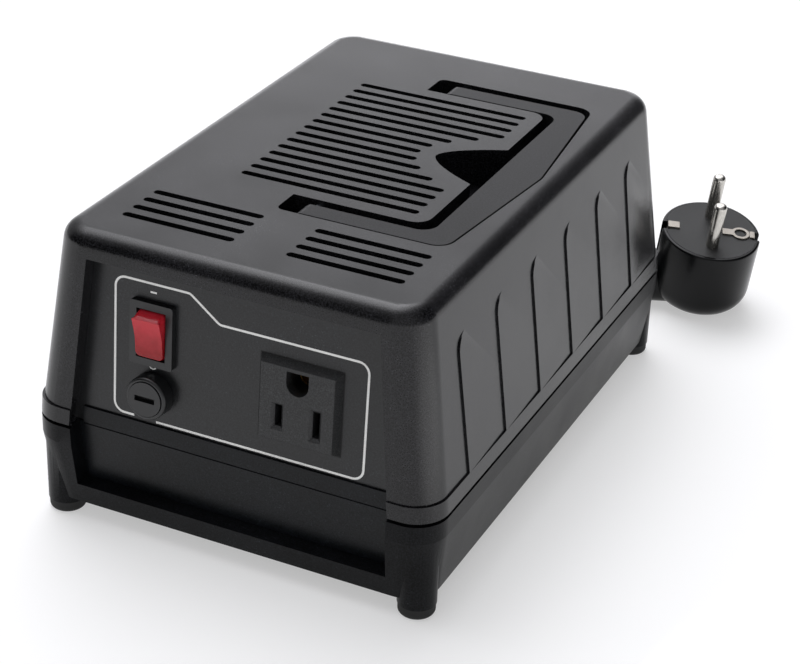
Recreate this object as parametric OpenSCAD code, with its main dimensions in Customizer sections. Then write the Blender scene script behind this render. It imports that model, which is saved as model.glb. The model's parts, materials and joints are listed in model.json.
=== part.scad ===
// Travel voltage converter: a step-down transformer in a two-part moulded case, with a fold-flat handle,
// a rocker switch, a fuse and one outlet on the front, and a mains lead with an angled plug at the back.
// Millimetres. The origin is on the floor under the middle of the case, the front faces -Y.

/* [Case] */
// Width over the skirt at the seam
case_w = 141; // [136:1:156]
// Depth over the skirt at the seam
case_d = 204; // [200:1:224]
// Height from the floor to the flat top
case_h = 102; // [100:0.5:112]
// Height of the seam between the lower case and the cover
seam_z = 35.6; // [34:0.1:37]
// How far each side leans in from the seam to the top
top_in_x = 9; // [8.4:0.1:10]
// How far the front and the back lean in from the seam to the top
top_in_y = 5; // [4.6:0.1:6]
// How far the lower case tapers in at its bottom edge
base_in = 3; // [2.4:0.1:3.2]
// Height of the underside above the floor
base_z = 6.6; // [5.5:0.1:8]
// Wall of the mouldings
wall = 2.5; // [2:0.1:2.8]
// Radius of the upright corners
corner_r = 11; // [9:0.5:13]
// Radius along the top edge
top_edge_r = 6; // [4:0.5:7]
// Height of the skirt round the foot of the cover
skirt_h = 5.5; // [4:0.5:7]
// How far the cover's wall starts inside the skirt
skirt_step = 0.3; // [0.2:0.1:0.8]
// How far the top of the skirt stands out of the cover's wall
skirt_lip = 0.6; // [0.4:0.1:1]
// Height of the shadow groove at the seam
seam_gap = 1.2; // [0.8:0.1:1.4]
// Depth of the shadow groove
seam_groove = 1.2; // [0.8:0.1:1.4]
// Height of the upright band of the lower case, under the seam
band_h = 7; // [5:0.5:9]
// Radius of the corner legs
leg_r = 6.2; // [6:0.1:6.5]
// Distance of a leg's centre from the side of the case
leg_in_x = 8; // [7.5:0.1:8.5]
// Distance of a leg's centre from the front or the back of the case
leg_in_y = 8.3; // [8:0.1:9]
// Radius of a rubber foot
foot_r = 5.9; // [5:0.1:6]
// Height of a rubber foot below its leg
foot_h = 4; // [3:0.1:5]
// Rounding of a foot's bottom edge
foot_edge_r = 1.6; // [0.6:0.1:2]
// Radius of the stem that holds a foot in its leg
foot_stem_r = 2; // [1.5:0.1:2.5]
// Length of a foot's stem
foot_stem_h = 5; // [4:0.5:7]

/* [Case screws] */
// Distance of a screw post from the side of the case
post_in_x = 16; // [14.5:0.5:17.5]
// Distance of a screw post from the front or the back of the case
post_in_y = 21; // [20:0.5:22.5]
// Radius of the posts and bosses
post_r = 4.5; // [4:0.1:5]
// Radius of the screw's shank
screw_r = 1.5; // [1.2:0.1:1.8]
// Length of the screw below its head
screw_len = 44; // [38:1:50]
// Radius of the screw's head
screw_head_r = 3; // [2.6:0.1:3.2]
// Height of the screw's head
screw_head_h = 2.2; // [1.8:0.1:2.6]
// Depth of the pocket for the head in the underside
screw_sink = 4; // [3:0.1:6]

/* [Side tiles] */
// Number of sloping tiles on each side
tile_count = 6; // [4:1:6]
// Distance of the first tile from the front of the case
tile_front_in = 26.5; // [24:0.1:30]
// Distance of the last tile's end from the back of the case
tile_back_in = 15.5; // [15:0.1:20]
// Length of the last tile, as a share of the others
tile_last = 0.765; // [0.7:0.005:1]
// How far a tile's front edge stands out of the wall
tile_proud = 0.6; // [0.4:0.05:1]
// Distance of the tiles' top below the flat top
tile_top_in = 15.6; // [14:0.1:20]
// Rounding of a tile's top front corner
tile_corner_r = 6; // [5:0.5:10]

/* [Vents] */
// Width of a vent slot
vent_w = 2.8; // [2.4:0.1:3]
// Middle of the vent groups across the case
vent_x = 0.4; // [0:0.1:0.8]
// Room between the ends of the tongue and the first and last slot of the main group
vent_margin = 6.9; // [6:0.1:8]
// Number of slots in each of the two front groups
front_vents = 4; // [3:1:4]
// Length of a front slot
front_vent_len = 38.7; // [30:0.1:39]
// Gap between the two front groups
front_vent_gap = 17.9; // [14:0.1:22]
// Distance of the middle of the front groups from the front of the case
front_vent_in = 31.7; // [31:0.1:32.5]
// Number of slots in the main group
top_vents = 15; // [11:2:15]
// Length of a full slot of the main group
top_vent_len = 62.4; // [56:0.2:63]
// Distance of the shortest slot's end from the tip of the finger scoop
vent_dip = 5.7; // [5:0.1:9]
// How fast the slots lengthen away from the finger scoop
vent_dip_rate = 26.3; // [24:0.1:30]
// Length of an air slot in the floor of the lower case
floor_vent_len = 50; // [30:1:60]
// Number of air slots in the floor
floor_vents = 5; // [3:1:6]
// Middle of the floor slots, from the middle of the case
floor_vent_y = -52; // [-54:0.5:-50]

/* [Handle] */
// Distance of the handle's recess from the front of the case
recess_front_in = 48.5; // [47.5:0.5:50]
// Distance of the handle's recess from the back of the case
recess_back_in = 32.5; // [31:0.5:34]
// Left end of the recess's arms, from the middle of the case
recess_left = -8.5; // [-10:0.1:-7.5]
// Distance of the recess's outer corners from the side of the top
recess_side = 12.3; // [11.6:0.1:13]
// How far the outer edge bows out at the middle
recess_bow = 6.2; // [4:0.1:6.6]
// Depth of the recess
recess_deep = 8; // [7.6:0.1:9]
// Rounding of the recess's left corners
recess_end_r = 2.4; // [2.3:0.1:3]
// Rounding of the recess's outer corners
recess_corner_r = 6; // [4:0.5:8]
// Wall of the tub under the recess
tub_wall = 2; // [1.6:0.1:2.4]
// Gap between the handle and the recess, at the front and along the grip
handle_gap = 0.6; // [0.4:0.1:0.8]
// Gap between the handle and the back end of its recess
handle_play = 3.8; // [3:0.1:5]
// Thickness of the handle
handle_t = 6.4; // [6:0.1:6.8]
// Width of the handle's arms
arm_w = 7.3; // [6.5:0.1:7.6]
// Distance of the grip's inner edge from the recess's outer corners
grip_w = 8.5; // [7.5:0.1:9]
// Rounding of the handle's inner corners
grip_corner_r = 5.5; // [4:0.5:7]
// Pivot line of the handle, from the middle of the case
pivot_x = 0.3; // [-0.5:0.1:1]
// Radius of the pivot pins
pivot_r = 1.5; // [1.2:0.1:1.8]
// Running clearance of the pivot, all round
pivot_fit = 0.08; // [0.04:0.01:0.1]
// Width of the recess beside the tongue, front and back
tongue_in = 11.9; // [11.5:0.1:13]
// Gap between the tongue and the grip
finger_gap = 3.9; // [3.3:0.1:4.5]
// Rounding of the tongue's corners
tongue_corner_r = 5.5; // [4:0.5:7]
// Reach of the finger scoop into the tongue
scoop_reach = 19; // [18:0.1:20]
// Half width of the finger scoop's mouth
scoop_half = 15.4; // [13:0.1:16]
// How the scoop widens from its tip: 0.5 is a parabola, 1 a wedge
scoop_power = 0.6; // [0.5:0.05:0.8]
// Depth of the finger scoop
scoop_deep = 13; // [12:0.1:13.4]

/* [Panels] */
// How far the panels lie behind the front and the back of the case
recess_in = 5.5; // [5:0.1:6]
// Thickness of the panels
panel_t = 2.5; // [2:0.1:2.8]
// Distance of the panel opening from the side of the case, at the top
opening_top_in = 12.2; // [11.5:0.1:14]
// Distance of the panel opening from the side of the case, at the seam
opening_seam_in = 15.2; // [14.8:0.1:16]
// Distance of the panel opening from the side of the case, at the bottom
opening_bottom_in = 13; // [12.7:0.1:14]
// Distance of the panel opening's top below the flat top
opening_top_down = 8.7; // [8.2:0.1:10]
// Height of the bottom of the panel opening
opening_bottom_z = 14.1; // [13:0.1:15]
// Rim of the opening, which the panels bear on
opening_rim = 2.6; // [2.2:0.1:2.8]
// How far the panels reach behind the rim
panel_lap = 1.9; // [1.4:0.1:2]
// Lean of the lower plates, inwards towards the floor
lower_lean = 6; // [5:0.5:7]
// Height of the lower plate's tongue above the seam
lap_h = 5.5; // [4:0.1:6.5]
// How far the lower plate's pad stands out
lap_t = 0.8; // [0.6:0.1:1.2]
// Distance of the lower plate's pad from the side of the opening
lap_in = 1.5; // [1:0.1:4]
// Width of the crease across the lower plate
crease_w = 0.6; // [0.4:0.1:1]
// Thickness of the rails behind the panels
rail_t = 2.5; // [2:0.1:3]
// Number of vent slots in the rear panel
rear_vents = 6; // [4:1:7]
// Length of a vent slot in the rear panel
rear_vent_len = 60; // [40:1:64]

/* [Switch] */
// Place of the switch across the panel
switch_x = -28.3; // [-30:0.1:-27]
// Height of the switch's middle above the seam
switch_up = 36.6; // [36:0.1:38]
// Width of the switch's bezel
switch_w = 15; // [14.6:0.1:16]
// Height of the switch's bezel
switch_h = 21; // [20.6:0.1:22]
// How far the bezel stands out of the panel
switch_bezel_t = 2; // [1.6:0.1:2.4]
// How far the bezel laps over the panel's hole
switch_lip = 1; // [0.8:0.1:1.2]
// Depth of the switch's body behind the panel
switch_deep = 14; // [13.6:0.1:16]
// Wall of the switch's body
switch_wall = 1.4; // [1.2:0.1:1.5]
// Radius of the rocker's round ends about its pivot
rocker_r = 7.8; // [7.4:0.1:7.8]
// Height of the rocker's ends above its pivot
rocker_end = 4.2; // [3.8:0.1:4.6]
// Height of the rocker's valley above its pivot
rocker_mid = 3.4; // [3:0.1:3.8]
// Depth of the rocker below its pivot
rocker_under = 4; // [3.5:0.1:4.5]
// Tilt of the rocker to either side
rocker_tilt = 11; // [9:0.5:12]
// Clearance between the rocker and its window
rocker_gap = 0.3; // [0.2:0.05:0.3]
// Radius of the rocker's pivot stubs
rocker_pin_r = 1.2; // [1:0.1:1.4]
// Width of a push-on tab
tab_w = 4.8; // [4:0.1:5.2]
// Thickness of a push-on tab
tab_t = 0.8; // [0.6:0.1:1]
// Length of a push-on tab
tab_len = 8; // [6:0.5:9]
// Distance between the switch's tabs
switch_tab_step = 6; // [5:0.1:6.5]
// Radius of the switch's lamp
lamp_r = 1.5; // [1.2:0.1:1.6]
// Length of the switch's lamp
lamp_len = 7; // [5:0.5:9]

/* [Outlet] */
// Place of the outlet across the panel
outlet_x = 22.6; // [22:0.1:24]
// Height of the outlet's middle above the seam
outlet_up = 26.3; // [26:0.1:28]
// Side of the outlet's bezel on the panel
outlet_side = 27.6; // [27:0.1:28.4]
// Side of the outlet's front face
outlet_face = 24.6; // [24:0.1:25.2]
// How far the outlet stands out of the panel
outlet_proud = 3; // [2.5:0.1:3.5]
// Side of the outlet's body behind the panel
outlet_body_side = 25; // [24.4:0.1:25.6]
// Depth of the outlet's body behind the panel
outlet_deep = 22; // [20:0.5:26]
// Distance between the two blade slots
blade_step = 12.7; // [12.7:0.1:12.7]
// Width of a blade slot
blade_slot_w = 2.2; // [2:0.1:2.4]
// Height of the hot blade's slot
hot_slot_h = 7; // [6.6:0.1:7.4]
// Height of the neutral blade's slot
neutral_slot_h = 8.6; // [8.2:0.1:9]
// Radius of the earth hole
earth_r = 2.7; // [2.5:0.1:2.9]
// Height of the earth hole above the blade slots
earth_up = 11.9; // [11.9:0.1:11.9]
// Height of the blade slots below the outlet's middle
blade_down = 4.5; // [4.2:0.1:4.8]
// Width of the bevelled lead-in round each hole
lead_in = 1; // [0.6:0.1:1.2]
// Thickness of the face over the contact chambers
outlet_skin = 4; // [3:0.1:5]
// Width of a blade contact's chamber
chamber_w = 5; // [4.6:0.1:5.4]
// Height of a blade contact's chamber
chamber_h = 9.6; // [9:0.1:10]
// Thickness of the contact strip
strip_t = 0.6; // [0.4:0.1:0.7]
// Length of a contact's leaves
leaf_len = 11; // [9:0.5:12]
// Distance of the leaves behind the face over their chambers
leaf_back = 4; // [0.5:0.5:4]

/* [Fuse holder] */
// Place of the fuse holder across the panel
fuse_x = -28.2; // [-30:0.1:-27]
// Height of the fuse holder's middle above the seam
fuse_up = 16.2; // [15.5:0.1:16.8]
// Radius of the front ring
fuse_ring_r = 7.1; // [6.8:0.1:7.4]
// How far the front ring stands out of the panel
fuse_ring_t = 5; // [4:0.1:5.6]
// Bevel on the front ring
fuse_bevel = 0.6; // [0.3:0.1:1]
// Radius of the body behind the panel
fuse_body_r = 5.9; // [5.7:0.1:6]
// Length of the body behind the panel
fuse_body_len = 38; // [37:0.5:42]
// Radius of the bore that takes the carrier
fuse_bore_r = 4.3; // [4.2:0.1:4.5]
// Radius of the cap's head
cap_r = 5.7; // [5.4:0.1:5.8]
// Thickness of the cap's head
cap_t = 3.8; // [3:0.1:4]
// How far the cap's head stands out of the ring
cap_proud = 0.3; // [0.2:0.1:0.6]
// Running clearance of the cap, all round
cap_fit = 0.08; // [0.04:0.01:0.1]
// Length of the cap's slot
cap_slot_len = 7; // [6:0.1:8]
// Width of the cap's slot
cap_slot_w = 1.8; // [1.2:0.1:1.8]
// Depth of the cap's slot
cap_slot_deep = 1.8; // [1:0.1:1.8]
// Length of the carrier behind the cap's head
carrier_len = 12; // [10:0.5:14]
// Length of the fuse
fuse_len = 20; // [20:0.1:20]
// Radius of the fuse's end caps
fuse_end_r = 2.6; // [2.5:0.05:2.7]
// Length of a fuse end cap
fuse_end_len = 5; // [4:0.1:6]
// Radius of the fuse's glass
fuse_glass_r = 2.4; // [2.2:0.05:2.45]
// Width of the nut across its flats
fuse_nut_af = 15; // [14:0.1:16]
// Thickness of the nut
fuse_nut_t = 3; // [2.5:0.1:4]
// How far a fuse terminal stands out
fuse_tab_len = 6; // [5:0.5:8]
// Distance of the side terminal behind the panel
fuse_side_tab = 26; // [20:0.5:28]

/* [Transformer] */
// Middle of the transformer along the case
core_y = 12; // [10:0.5:14]
// Room above the transformer, under the finger scoop
core_head = 1.7; // [1.2:0.1:4]
// Thickness of the stack of laminations
core_stack = 50; // [44:1:54]
// Height of the ribs that the core stands on
core_rib_h = 3; // [2.6:0.1:3.4]
// Width of a rib under the core
core_rib_w = 8; // [6:0.5:10]
// Wall of the bobbin
bobbin_t = 1.2; // [1:0.1:1.4]
// Play of the bobbin on the core
bobbin_play = 0.2; // [0.1:0.05:0.3]
// Gap between the winding's tape and the core's outer limbs
winding_gap = 1.5; // [1:0.1:3]
// Thickness of the insulation tape
tape_t = 0.5; // [0.3:0.1:0.8]
// Height of the tape
tape_h = 30; // [24:1:36]
// Length of the thermal cut-out
cutout_len = 16; // [12:0.5:20]
// Width of the thermal cut-out
cutout_w = 8; // [6:0.5:10]
// Thickness of the thermal cut-out
cutout_t = 4; // [3:0.1:5]
// Width of the bracket's strap
strap_w = 30; // [26:1:36]
// Thickness of the bracket's sheet
strap_t = 1.2; // [1:0.1:1.5]
// Length of the bracket's feet
strap_foot = 14; // [12:0.5:15]
// Distance of a bracket screw from the side of the core
strap_hole_out = 8.4; // [8:0.1:9]
// Distance between the two screws of a bracket foot
strap_hole_step = 18; // [14:1:22]
// Radius of the bosses under the bracket's feet
strap_boss_r = 4; // [3.5:0.1:4.4]

/* [Mains lead] */
// Diameter of the lead
cord_d = 7; // [6.4:0.1:7]
// Place of the gland across the rear plate
gland_x = 16; // [16:1:16]
// Depth of the gland's middle below the seam
gland_down = 13.6; // [13.6:0.1:13.6]
// Length of the gland's tapered sleeve
gland_len = 22; // [22:1:22]
// Radius of the gland's collar
gland_collar_r = 6.6; // [6:0.1:6.8]
// Thickness of the gland's collar
gland_collar_t = 2; // [1.5:0.1:3]
// Radius of the gland's neck in the plate
gland_neck_r = 5; // [4.6:0.1:5.2]
// Length of the gland's inner nut
gland_nut_t = 5; // [4:0.5:7]
// Radius of the coil where the lead enters it
coil_r = 45; // [45:1:45]
// Distance between the coil's turns
coil_pitch = 7.6; // [7.5:0.1:7.8]
// Turns from the start of the coil to its innermost point
coil_turns_in = 2.25; // [2.25:1:2.25]
// Turns from the innermost point to the end of the coil
coil_turns_out = 2.5; // [2.5:1:2.5]
// Thickness of the tie's band
tie_t = 0.9; // [0.7:0.1:1]
// Width of the tie's band
tie_w = 9; // [6:0.5:10]
// Clearance of the tie round the coil
tie_gap = 0.6; // [0.5:0.1:0.8]
// Diameter of the inner wires
wire_d = 2.4; // [2:0.1:2.6]

/* [Plug] */
// Radius of the plug's body
plug_r = 18.8; // [18.4:0.1:19.2]
// Height of the plug's body
plug_h = 31; // [29:0.5:33]
// Rounding of the plug's back
plug_back_r = 9; // [7:0.5:10]
// Rounding of the rim of the plug's face
plug_rim_r = 0.8; // [0.5:0.1:1.2]
// Turn of the plug on the floor
plug_turn = 21.6; // [21.6:0.1:21.6]
// Lean of the plug towards the front
plug_lean = 10.6; // [10.6:0.1:10.6]
// Lean of the plug away from its lead
plug_roll = 4.9; // [4.9:0.1:4.9]
// Radius of a pin
pin_r = 2.4; // [2.4:0.1:2.4]
// Length of a pin, with its rounded tip
pin_len = 19; // [19:0.1:19]
// Length of a pin's rounded tip
pin_tip = 1.5; // [1:0.1:2]
// Distance between the pins
pin_step = 19; // [19:0.1:19]
// Distance of the end of the boot from the plug's middle
boot_reach = 40; // [40:1:40]
// Radius of the boot at the plug
boot_r = 9.2; // [8.6:0.1:9.4]
// Length of the boot's tapered end
boot_taper = 14; // [10:0.5:18]
// Radius of the boot's end
boot_end_r = 4.8; // [4.5:0.1:5.5]
// Width of the grooves for the earth clips
clip_groove_w = 4.6; // [4:0.1:5.2]
// Depth of the grooves for the earth clips
clip_groove_deep = 3; // [2.6:0.1:3.4]
// Width of an earth clip
clip_w = 3.8; // [3.4:0.1:4]
// Thickness of an earth clip
clip_t = 0.8; // [0.6:0.1:1]
// Length of the left clip's fold over the plug's face
clip_fold = 3.6; // [2:0.1:5]
// Length of an earth clip down the side of the plug
clip_len = 20; // [14:0.5:21]
// Length of the earth clip above the lead
clip_short = 14; // [12:0.5:15]
// Radius of the hole for a socket's earth pin
plug_earth_r = 2.3; // [2.2:0.1:2.5]
// Distance of that hole from the plug's middle
plug_earth_x = 11.2; // [11:0.1:11.6]
// Depth of that hole
plug_earth_deep = 15; // [12:0.5:18]

/* [Hidden] */

$fn = 64;
hull_fn = 48;
arc_steps = 8;
// Overshoot of a cut, so that no two faces of a cut coincide
over = 1;
// Sides and corner order used by the loops
both = [-1, 1];

// Fits: pressed together, pushed together, and passing with play
press_fit = 0.02;
push_fit = 0.05;
play_fit = 0.2;

top_w = case_w - 2 * top_in_x;
top_d = case_d - 2 * top_in_y;
base_w = case_w - 2 * base_in;
base_d = case_d - 2 * base_in;
post_x = case_w / 2 - post_in_x;
post_y = case_d / 2 - post_in_y;
cover_z = seam_z + seam_gap / 4;
cover_w = case_w - 2 * skirt_step;
cover_d = case_d - 2 * skirt_step;
cover_rise = case_h - cover_z;
side_lean = atan((cover_w - top_w) / 2 / cover_rise);
front_lean = atan((cover_d - top_d) / 2 / cover_rise);
band_z = seam_z - band_h;
base_floor = base_z + wall;
leg_x = case_w / 2 - leg_in_x;
leg_y = case_d / 2 - leg_in_y;
leg_top = band_z + 1.5;
panel_y = -case_d / 2 + recess_in;
opening_top_w = top_w - 2 * opening_top_in;
opening_seam_w = case_w - 2 * opening_seam_in;
opening_bottom_w = base_w - 2 * opening_bottom_in;
opening_up = (case_h - opening_top_down - seam_z) / cos(front_lean);
opening_down = (seam_z - opening_bottom_z) / cos(lower_lean);
opening_slope = (opening_seam_w - opening_top_w) / 2 / opening_up;
// The frame of an opening runs this far out, past the case's face
frame_out = recess_in + 10;
// The cover's opening starts this far below the seam
frame_under = 10;
rail_in = 4;
rail_out = 20;

tile_start = tile_front_in - case_d / 2;
tile_pitch = (case_d - tile_front_in - tile_back_in) / (tile_count - 1 + tile_last);
skirt_top_w = cover_w - (cover_w - top_w) * skirt_h / cover_rise + 2 * skirt_lip;
skirt_top_d = cover_d - (cover_d - top_d) * skirt_h / cover_rise + 2 * skirt_lip;

recess_len = case_d - recess_front_in - recess_back_in;
handle_y = (recess_front_in - recess_back_in) / 2;
handle_len = recess_len - handle_gap - handle_play;
tongue_len = recess_len - 2 * tongue_in;
recess_right = top_w / 2 - recess_side;
grip_in = recess_right - grip_w;
tongue_right = grip_in - finger_gap;
scoop_tip = tongue_right - scoop_reach;
vent_pitch = (tongue_len - 2 * vent_margin) / (top_vents - 1);
// The handle lies at the front end of its recess
handle_mid = handle_y - recess_len / 2 + handle_gap + handle_len / 2;
pivot_z = case_h - handle_t / 2;
scoop_mouth = tongue_right;
// The scoop's pocket runs on under the grip to here
scoop_end = grip_in + 5;
scoop_steps = 10;

core_z = base_floor + core_rib_h;
// The core is five of its outer limbs high and six wide
limb = (case_h - scoop_deep - tub_wall - core_head - strap_t - core_z) / 5;
core_w = 6 * limb;
window_h = 3 * limb;
core_h = window_h + 2 * limb;
bobbin_in_x = 2 * limb + 2 * bobbin_play;
bobbin_in_y = core_stack + 2 * bobbin_play;
winding_in_x = bobbin_in_x + 2 * bobbin_t;
winding_in_y = bobbin_in_y + 2 * bobbin_t;
winding_build = limb - bobbin_play - bobbin_t - tape_t - winding_gap;
winding_x = winding_in_x + 2 * winding_build;
winding_y = winding_in_y + 2 * winding_build;
bobbin_h = window_h - 2 * bobbin_play;
bobbin_z = core_z + limb + bobbin_play;
winding_h = bobbin_h - 2 * bobbin_t;
winding_z = bobbin_z + bobbin_t;
winding_r = 5;
tape_x = winding_x + 2 * tape_t;
tape_y = winding_y + 2 * tape_t;
tape_z = winding_z + (winding_h - tape_h) / 2;
tape_front = core_y - tape_y / 2;
tape_back = core_y + tape_y / 2;
strap_hole_x = core_w / 2 + strap_hole_out;

cord_r = cord_d / 2;
cord_sides = 10;
gland_wall = 0.9;
coil_sides = 6;
coil_rings = 24;
// The tie passes under the coil, which lies on it
coil_z = cord_r + tie_t + 2 * play_fit;
coil_c = [-29, case_d / 2 + 63];
tie_angle = 180;
// The plug lies on the rim of its back and on its boot
plug_tip = acos(cos(plug_lean) * cos(plug_roll));
plug_z = plug_back_r * (1 - cos(plug_tip)) + (plug_r - plug_back_r) * sin(plug_tip);
plug_pos = [71.1, case_d / 2 + 42.6, plug_z];

// Two-dimensional helpers

function unit(v) = v / norm(v);

// Arc that replaces corner b of the outline a, b, c
function corner_arc(a, b, c, r) =
  let (
    u = unit(a - b),
    v = unit(c - b),
    half = acos(u * v) / 2,
    centre = b + unit(u + v) * r / sin(half),
    from = b + u * r / tan(half) - centre,
    to = b + v * r / tan(half) - centre,
    start = atan2(from[1], from[0]),
    raw = atan2(to[1], to[0]) - start,
    turn = raw > 180 ? raw - 360 : raw < -180 ? raw + 360 : raw
  )
  [
    for (i = [0 : arc_steps])
      let (at = start + turn * i / arc_steps)
      centre + r * [cos(at), sin(at)]
  ];

// Outline with its corners rounded, each by its own radius, where 0 keeps the corner
function rounded(points, radii) =
  let (n = len(points))
  [
    for (i = [0 : n - 1])
      each radii[i] > 0
        ? corner_arc(points[(i + n - 1) % n], points[i], points[(i + 1) % n], radii[i])
        : [points[i]]
  ];

module rounded_rect(w, d, r) {
  square([w - 2 * r, d], center = true);
  square([w, d - 2 * r], center = true);
  for (x = both, y = both)
    translate([x * (w / 2 - r), y * (d / 2 - r)]) circle(r);
}

// Slot with round ends along X, from x0 to x1
module slot(x0, x1, w) {
  translate([x0 + w / 2, -w / 2]) square([x1 - x0 - w, w]);
  for (x = [x0 + w / 2, x1 - w / 2])
    translate([x, 0]) circle(w / 2, $fn = 24);
}

// Three-dimensional helpers

module at_corners(x, y) {
  for (sx = both, sy = both)
    translate([sx * x, sy * y, 0]) children();
}

// Block with round upright corners that tapers from one rectangle to another, its top edge rounded
module tapered_block(w0, d0, z0, w1, d1, z1, r, edge) {
  grow_w = (w0 - w1) * edge / (z1 - z0);
  grow_d = (d0 - d1) * edge / (z1 - z0);
  hull() {
    at_corners(w0 / 2 - r, d0 / 2 - r)
      translate([0, 0, z0]) cylinder(r = r, h = 0.1, $fn = hull_fn);
    at_corners((w1 + grow_w) / 2 - r, (d1 + grow_d) / 2 - r)
      translate([0, 0, z1 - edge])
        rotate_extrude($fn = hull_fn)
          intersection() {
            translate([r - edge, 0]) circle(edge, $fn = 32);
            square(r);
          }
  }
}

// The same with sharp edges
module tapered_tray(w0, d0, z0, w1, d1, z1, r) {
  hull() {
    at_corners(w0 / 2 - r, d0 / 2 - r)
      translate([0, 0, z0]) cylinder(r = r, h = 0.1, $fn = hull_fn);
    at_corners(w1 / 2 - r, d1 / 2 - r)
      translate([0, 0, z1 - 0.1]) cylinder(r = r, h = 0.1, $fn = hull_fn);
  }
}

// Frustum on a square base, by two crossing prisms
module square_frustum(base_x, base_y, top_x, top_y, h) {
  intersection() {
    rotate([90, 0, 0])
      linear_extrude(2 * max(base_y, top_y), center = true)
        polygon([[-base_x / 2, 0], [base_x / 2, 0], [top_x / 2, h], [-top_x / 2, h]]);
    rotate([90, 0, 90])
      linear_extrude(2 * max(base_x, top_x), center = true)
        polygon([[-base_y / 2, 0], [base_y / 2, 0], [top_y / 2, h], [-top_y / 2, h]]);
  }
}

// Frame of the front panel: X across, Y up the panel, Z out of it, from the panel's face at the seam
module on_panel() {
  translate([0, panel_y, seam_z]) rotate([90 - front_lean, 0, 0]) children();
}

// Frame of the lower front plate, which leans the other way
module on_lower() {
  translate([0, panel_y, seam_z]) rotate([90 + lower_lean, 0, 0]) children();
}

module at_back() {
  mirror([0, 1, 0]) children();
}

// A point given in the frame of the front panel
function panel_point(x, up, out) = [
  x,
  panel_y + up * sin(front_lean) - out * cos(front_lean),
  seam_z + up * cos(front_lean) + out * sin(front_lean)
];

// A point given in the frame of the lower rear plate
function rear_point(x, up, out) = [
  x,
  -panel_y + up * sin(lower_lean) + out * cos(lower_lean),
  seam_z + up * cos(lower_lean) - out * sin(lower_lean)
];

// Tubes swept along a route

function along(points, i) =
  unit(points[min(i + 1, len(points) - 1)] - points[max(i - 1, 0)]);

function ring(centre, dir, r, sides) =
  let (
    side = unit(cross(dir, [0, 0, 1])),
    up = cross(side, dir)
  )
  [for (k = [0 : sides - 1]) centre + r * (cos(360 * k / sides) * side + sin(360 * k / sides) * up)];

module tube(points, r, sides) {
  n = len(points);
  rings = [for (i = [0 : n - 1]) each ring(points[i], along(points, i), r, sides)];
  walls = [
    for (i = [0 : n - 2], k = [0 : sides - 1])
      let (
        a = i * sides + k,
        b = i * sides + (k + 1) % sides
      )
      each [[a, a + sides, b], [b, a + sides, b + sides]]
  ];
  start_cap = [for (k = [1 : sides - 2]) [0, k, k + 1]];
  last = (n - 1) * sides;
  end_cap = [for (k = [1 : sides - 2]) [last, last + k + 1, last + k]];
  polyhedron(points = rings, faces = concat(start_cap, walls, end_cap));
}

// Point of a smooth curve through p1 and p2, at share t of the way
function curve_point(p0, p1, p2, p3, t) =
  let (
    a = 2 * p0 - 5 * p1 + 4 * p2 - p3,
    b = 3 * p1 - p0 - 3 * p2 + p3
  )
  0.5 * (2 * p1 + (p2 - p0) * t + a * t ^ 2 + b * t ^ 3);

// Route with one extra point in the middle of each stretch
function smoothed(points) =
  let (n = len(points))
  [
    for (i = [0 : n - 2])
      each [
        points[i],
        curve_point(points[max(i - 1, 0)], points[i], points[i + 1], points[min(i + 2, n - 1)], 0.5)
      ],
    points[n - 1]
  ];

// Case

// Outline of a panel opening above the seam, grown by rim, in the frame of the panel
function upper_opening(rim) = [
  [-opening_seam_w / 2 - rim - frame_under * opening_slope, -frame_under],
  [opening_seam_w / 2 + rim + frame_under * opening_slope, -frame_under],
  [opening_top_w / 2 + rim, opening_up + rim],
  [-opening_top_w / 2 - rim, opening_up + rim]
];

// The same below the seam, in the frame of the lower plate
function lower_opening(rim) = [
  [-opening_bottom_w / 2 - rim, -opening_down - rim],
  [opening_bottom_w / 2 + rim, -opening_down - rim],
  [opening_seam_w / 2 + rim, frame_under],
  [-opening_seam_w / 2 - rim, frame_under]
];

// Outline of the handle's recess, grown all round, about the handle's middle
function recess_outline(grow) =
  let (
    half = recess_len / 2 + grow,
    left = recess_left - grow,
    right = recess_right + grow,
    r = recess_corner_r + grow
  )
  rounded(
    [[left, -half], [right, -half], [right + recess_bow, 0], [right, half], [left, half]],
    [recess_end_r + grow, r, 2 * r, r, recess_end_r + grow]
  );

// Outline of the tongue between the handle's arms
function tongue_outline(grow) =
  let (
    half = tongue_len / 2 + grow,
    left = recess_left - 2 * wall,
    right = tongue_right + grow,
    r = tongue_corner_r + grow
  )
  rounded([[left, -half], [right, -half], [right, half], [left, half]], [0, r, r, 0]);

// Outline of the finger scoop, grown all round
function scoop_outline(grow) =
  let (
    tip = scoop_tip - grow,
    reach = scoop_mouth - tip,
    half = scoop_half + grow,
    side = [
      for (i = [1 : scoop_steps])
        let (t = (i / scoop_steps) ^ 2)
        [tip + reach * t, half * t ^ scoop_power]
    ]
  )
  concat(
    [[tip, 0]],
    side,
    [[scoop_end + grow, half], [scoop_end + grow, -half]],
    [for (i = [scoop_steps - 1 : -1 : 0]) [side[i][0], -side[i][1]]]
  );

module handle_channel(grow) {
  difference() {
    polygon(recess_outline(grow));
    polygon(tongue_outline(-grow));
  }
}

// Solid that the cover keeps inside: frames, panel rails, handle tub and screw posts
module cover_inside() {
  for (back = [0, 1])
    mirror([0, back, 0]) on_panel() {
      linear_extrude(frame_out) polygon(upper_opening(opening_rim));
      for (side = both)
        translate([side * (opening_top_w / 2 + rail_out / 2), opening_up / 2, -panel_t - rail_t / 2])
          cube([rail_out, opening_up / 2, rail_t], center = true);
    }
  translate([0, handle_y, case_h - recess_deep - tub_wall])
    linear_extrude(recess_deep) handle_channel(tub_wall);
  translate([0, handle_y, case_h - scoop_deep - tub_wall])
    linear_extrude(scoop_deep) polygon(scoop_outline(tub_wall));
  at_corners(post_x, post_y) cylinder(r = post_r, h = case_h - wall / 2);
}

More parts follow.
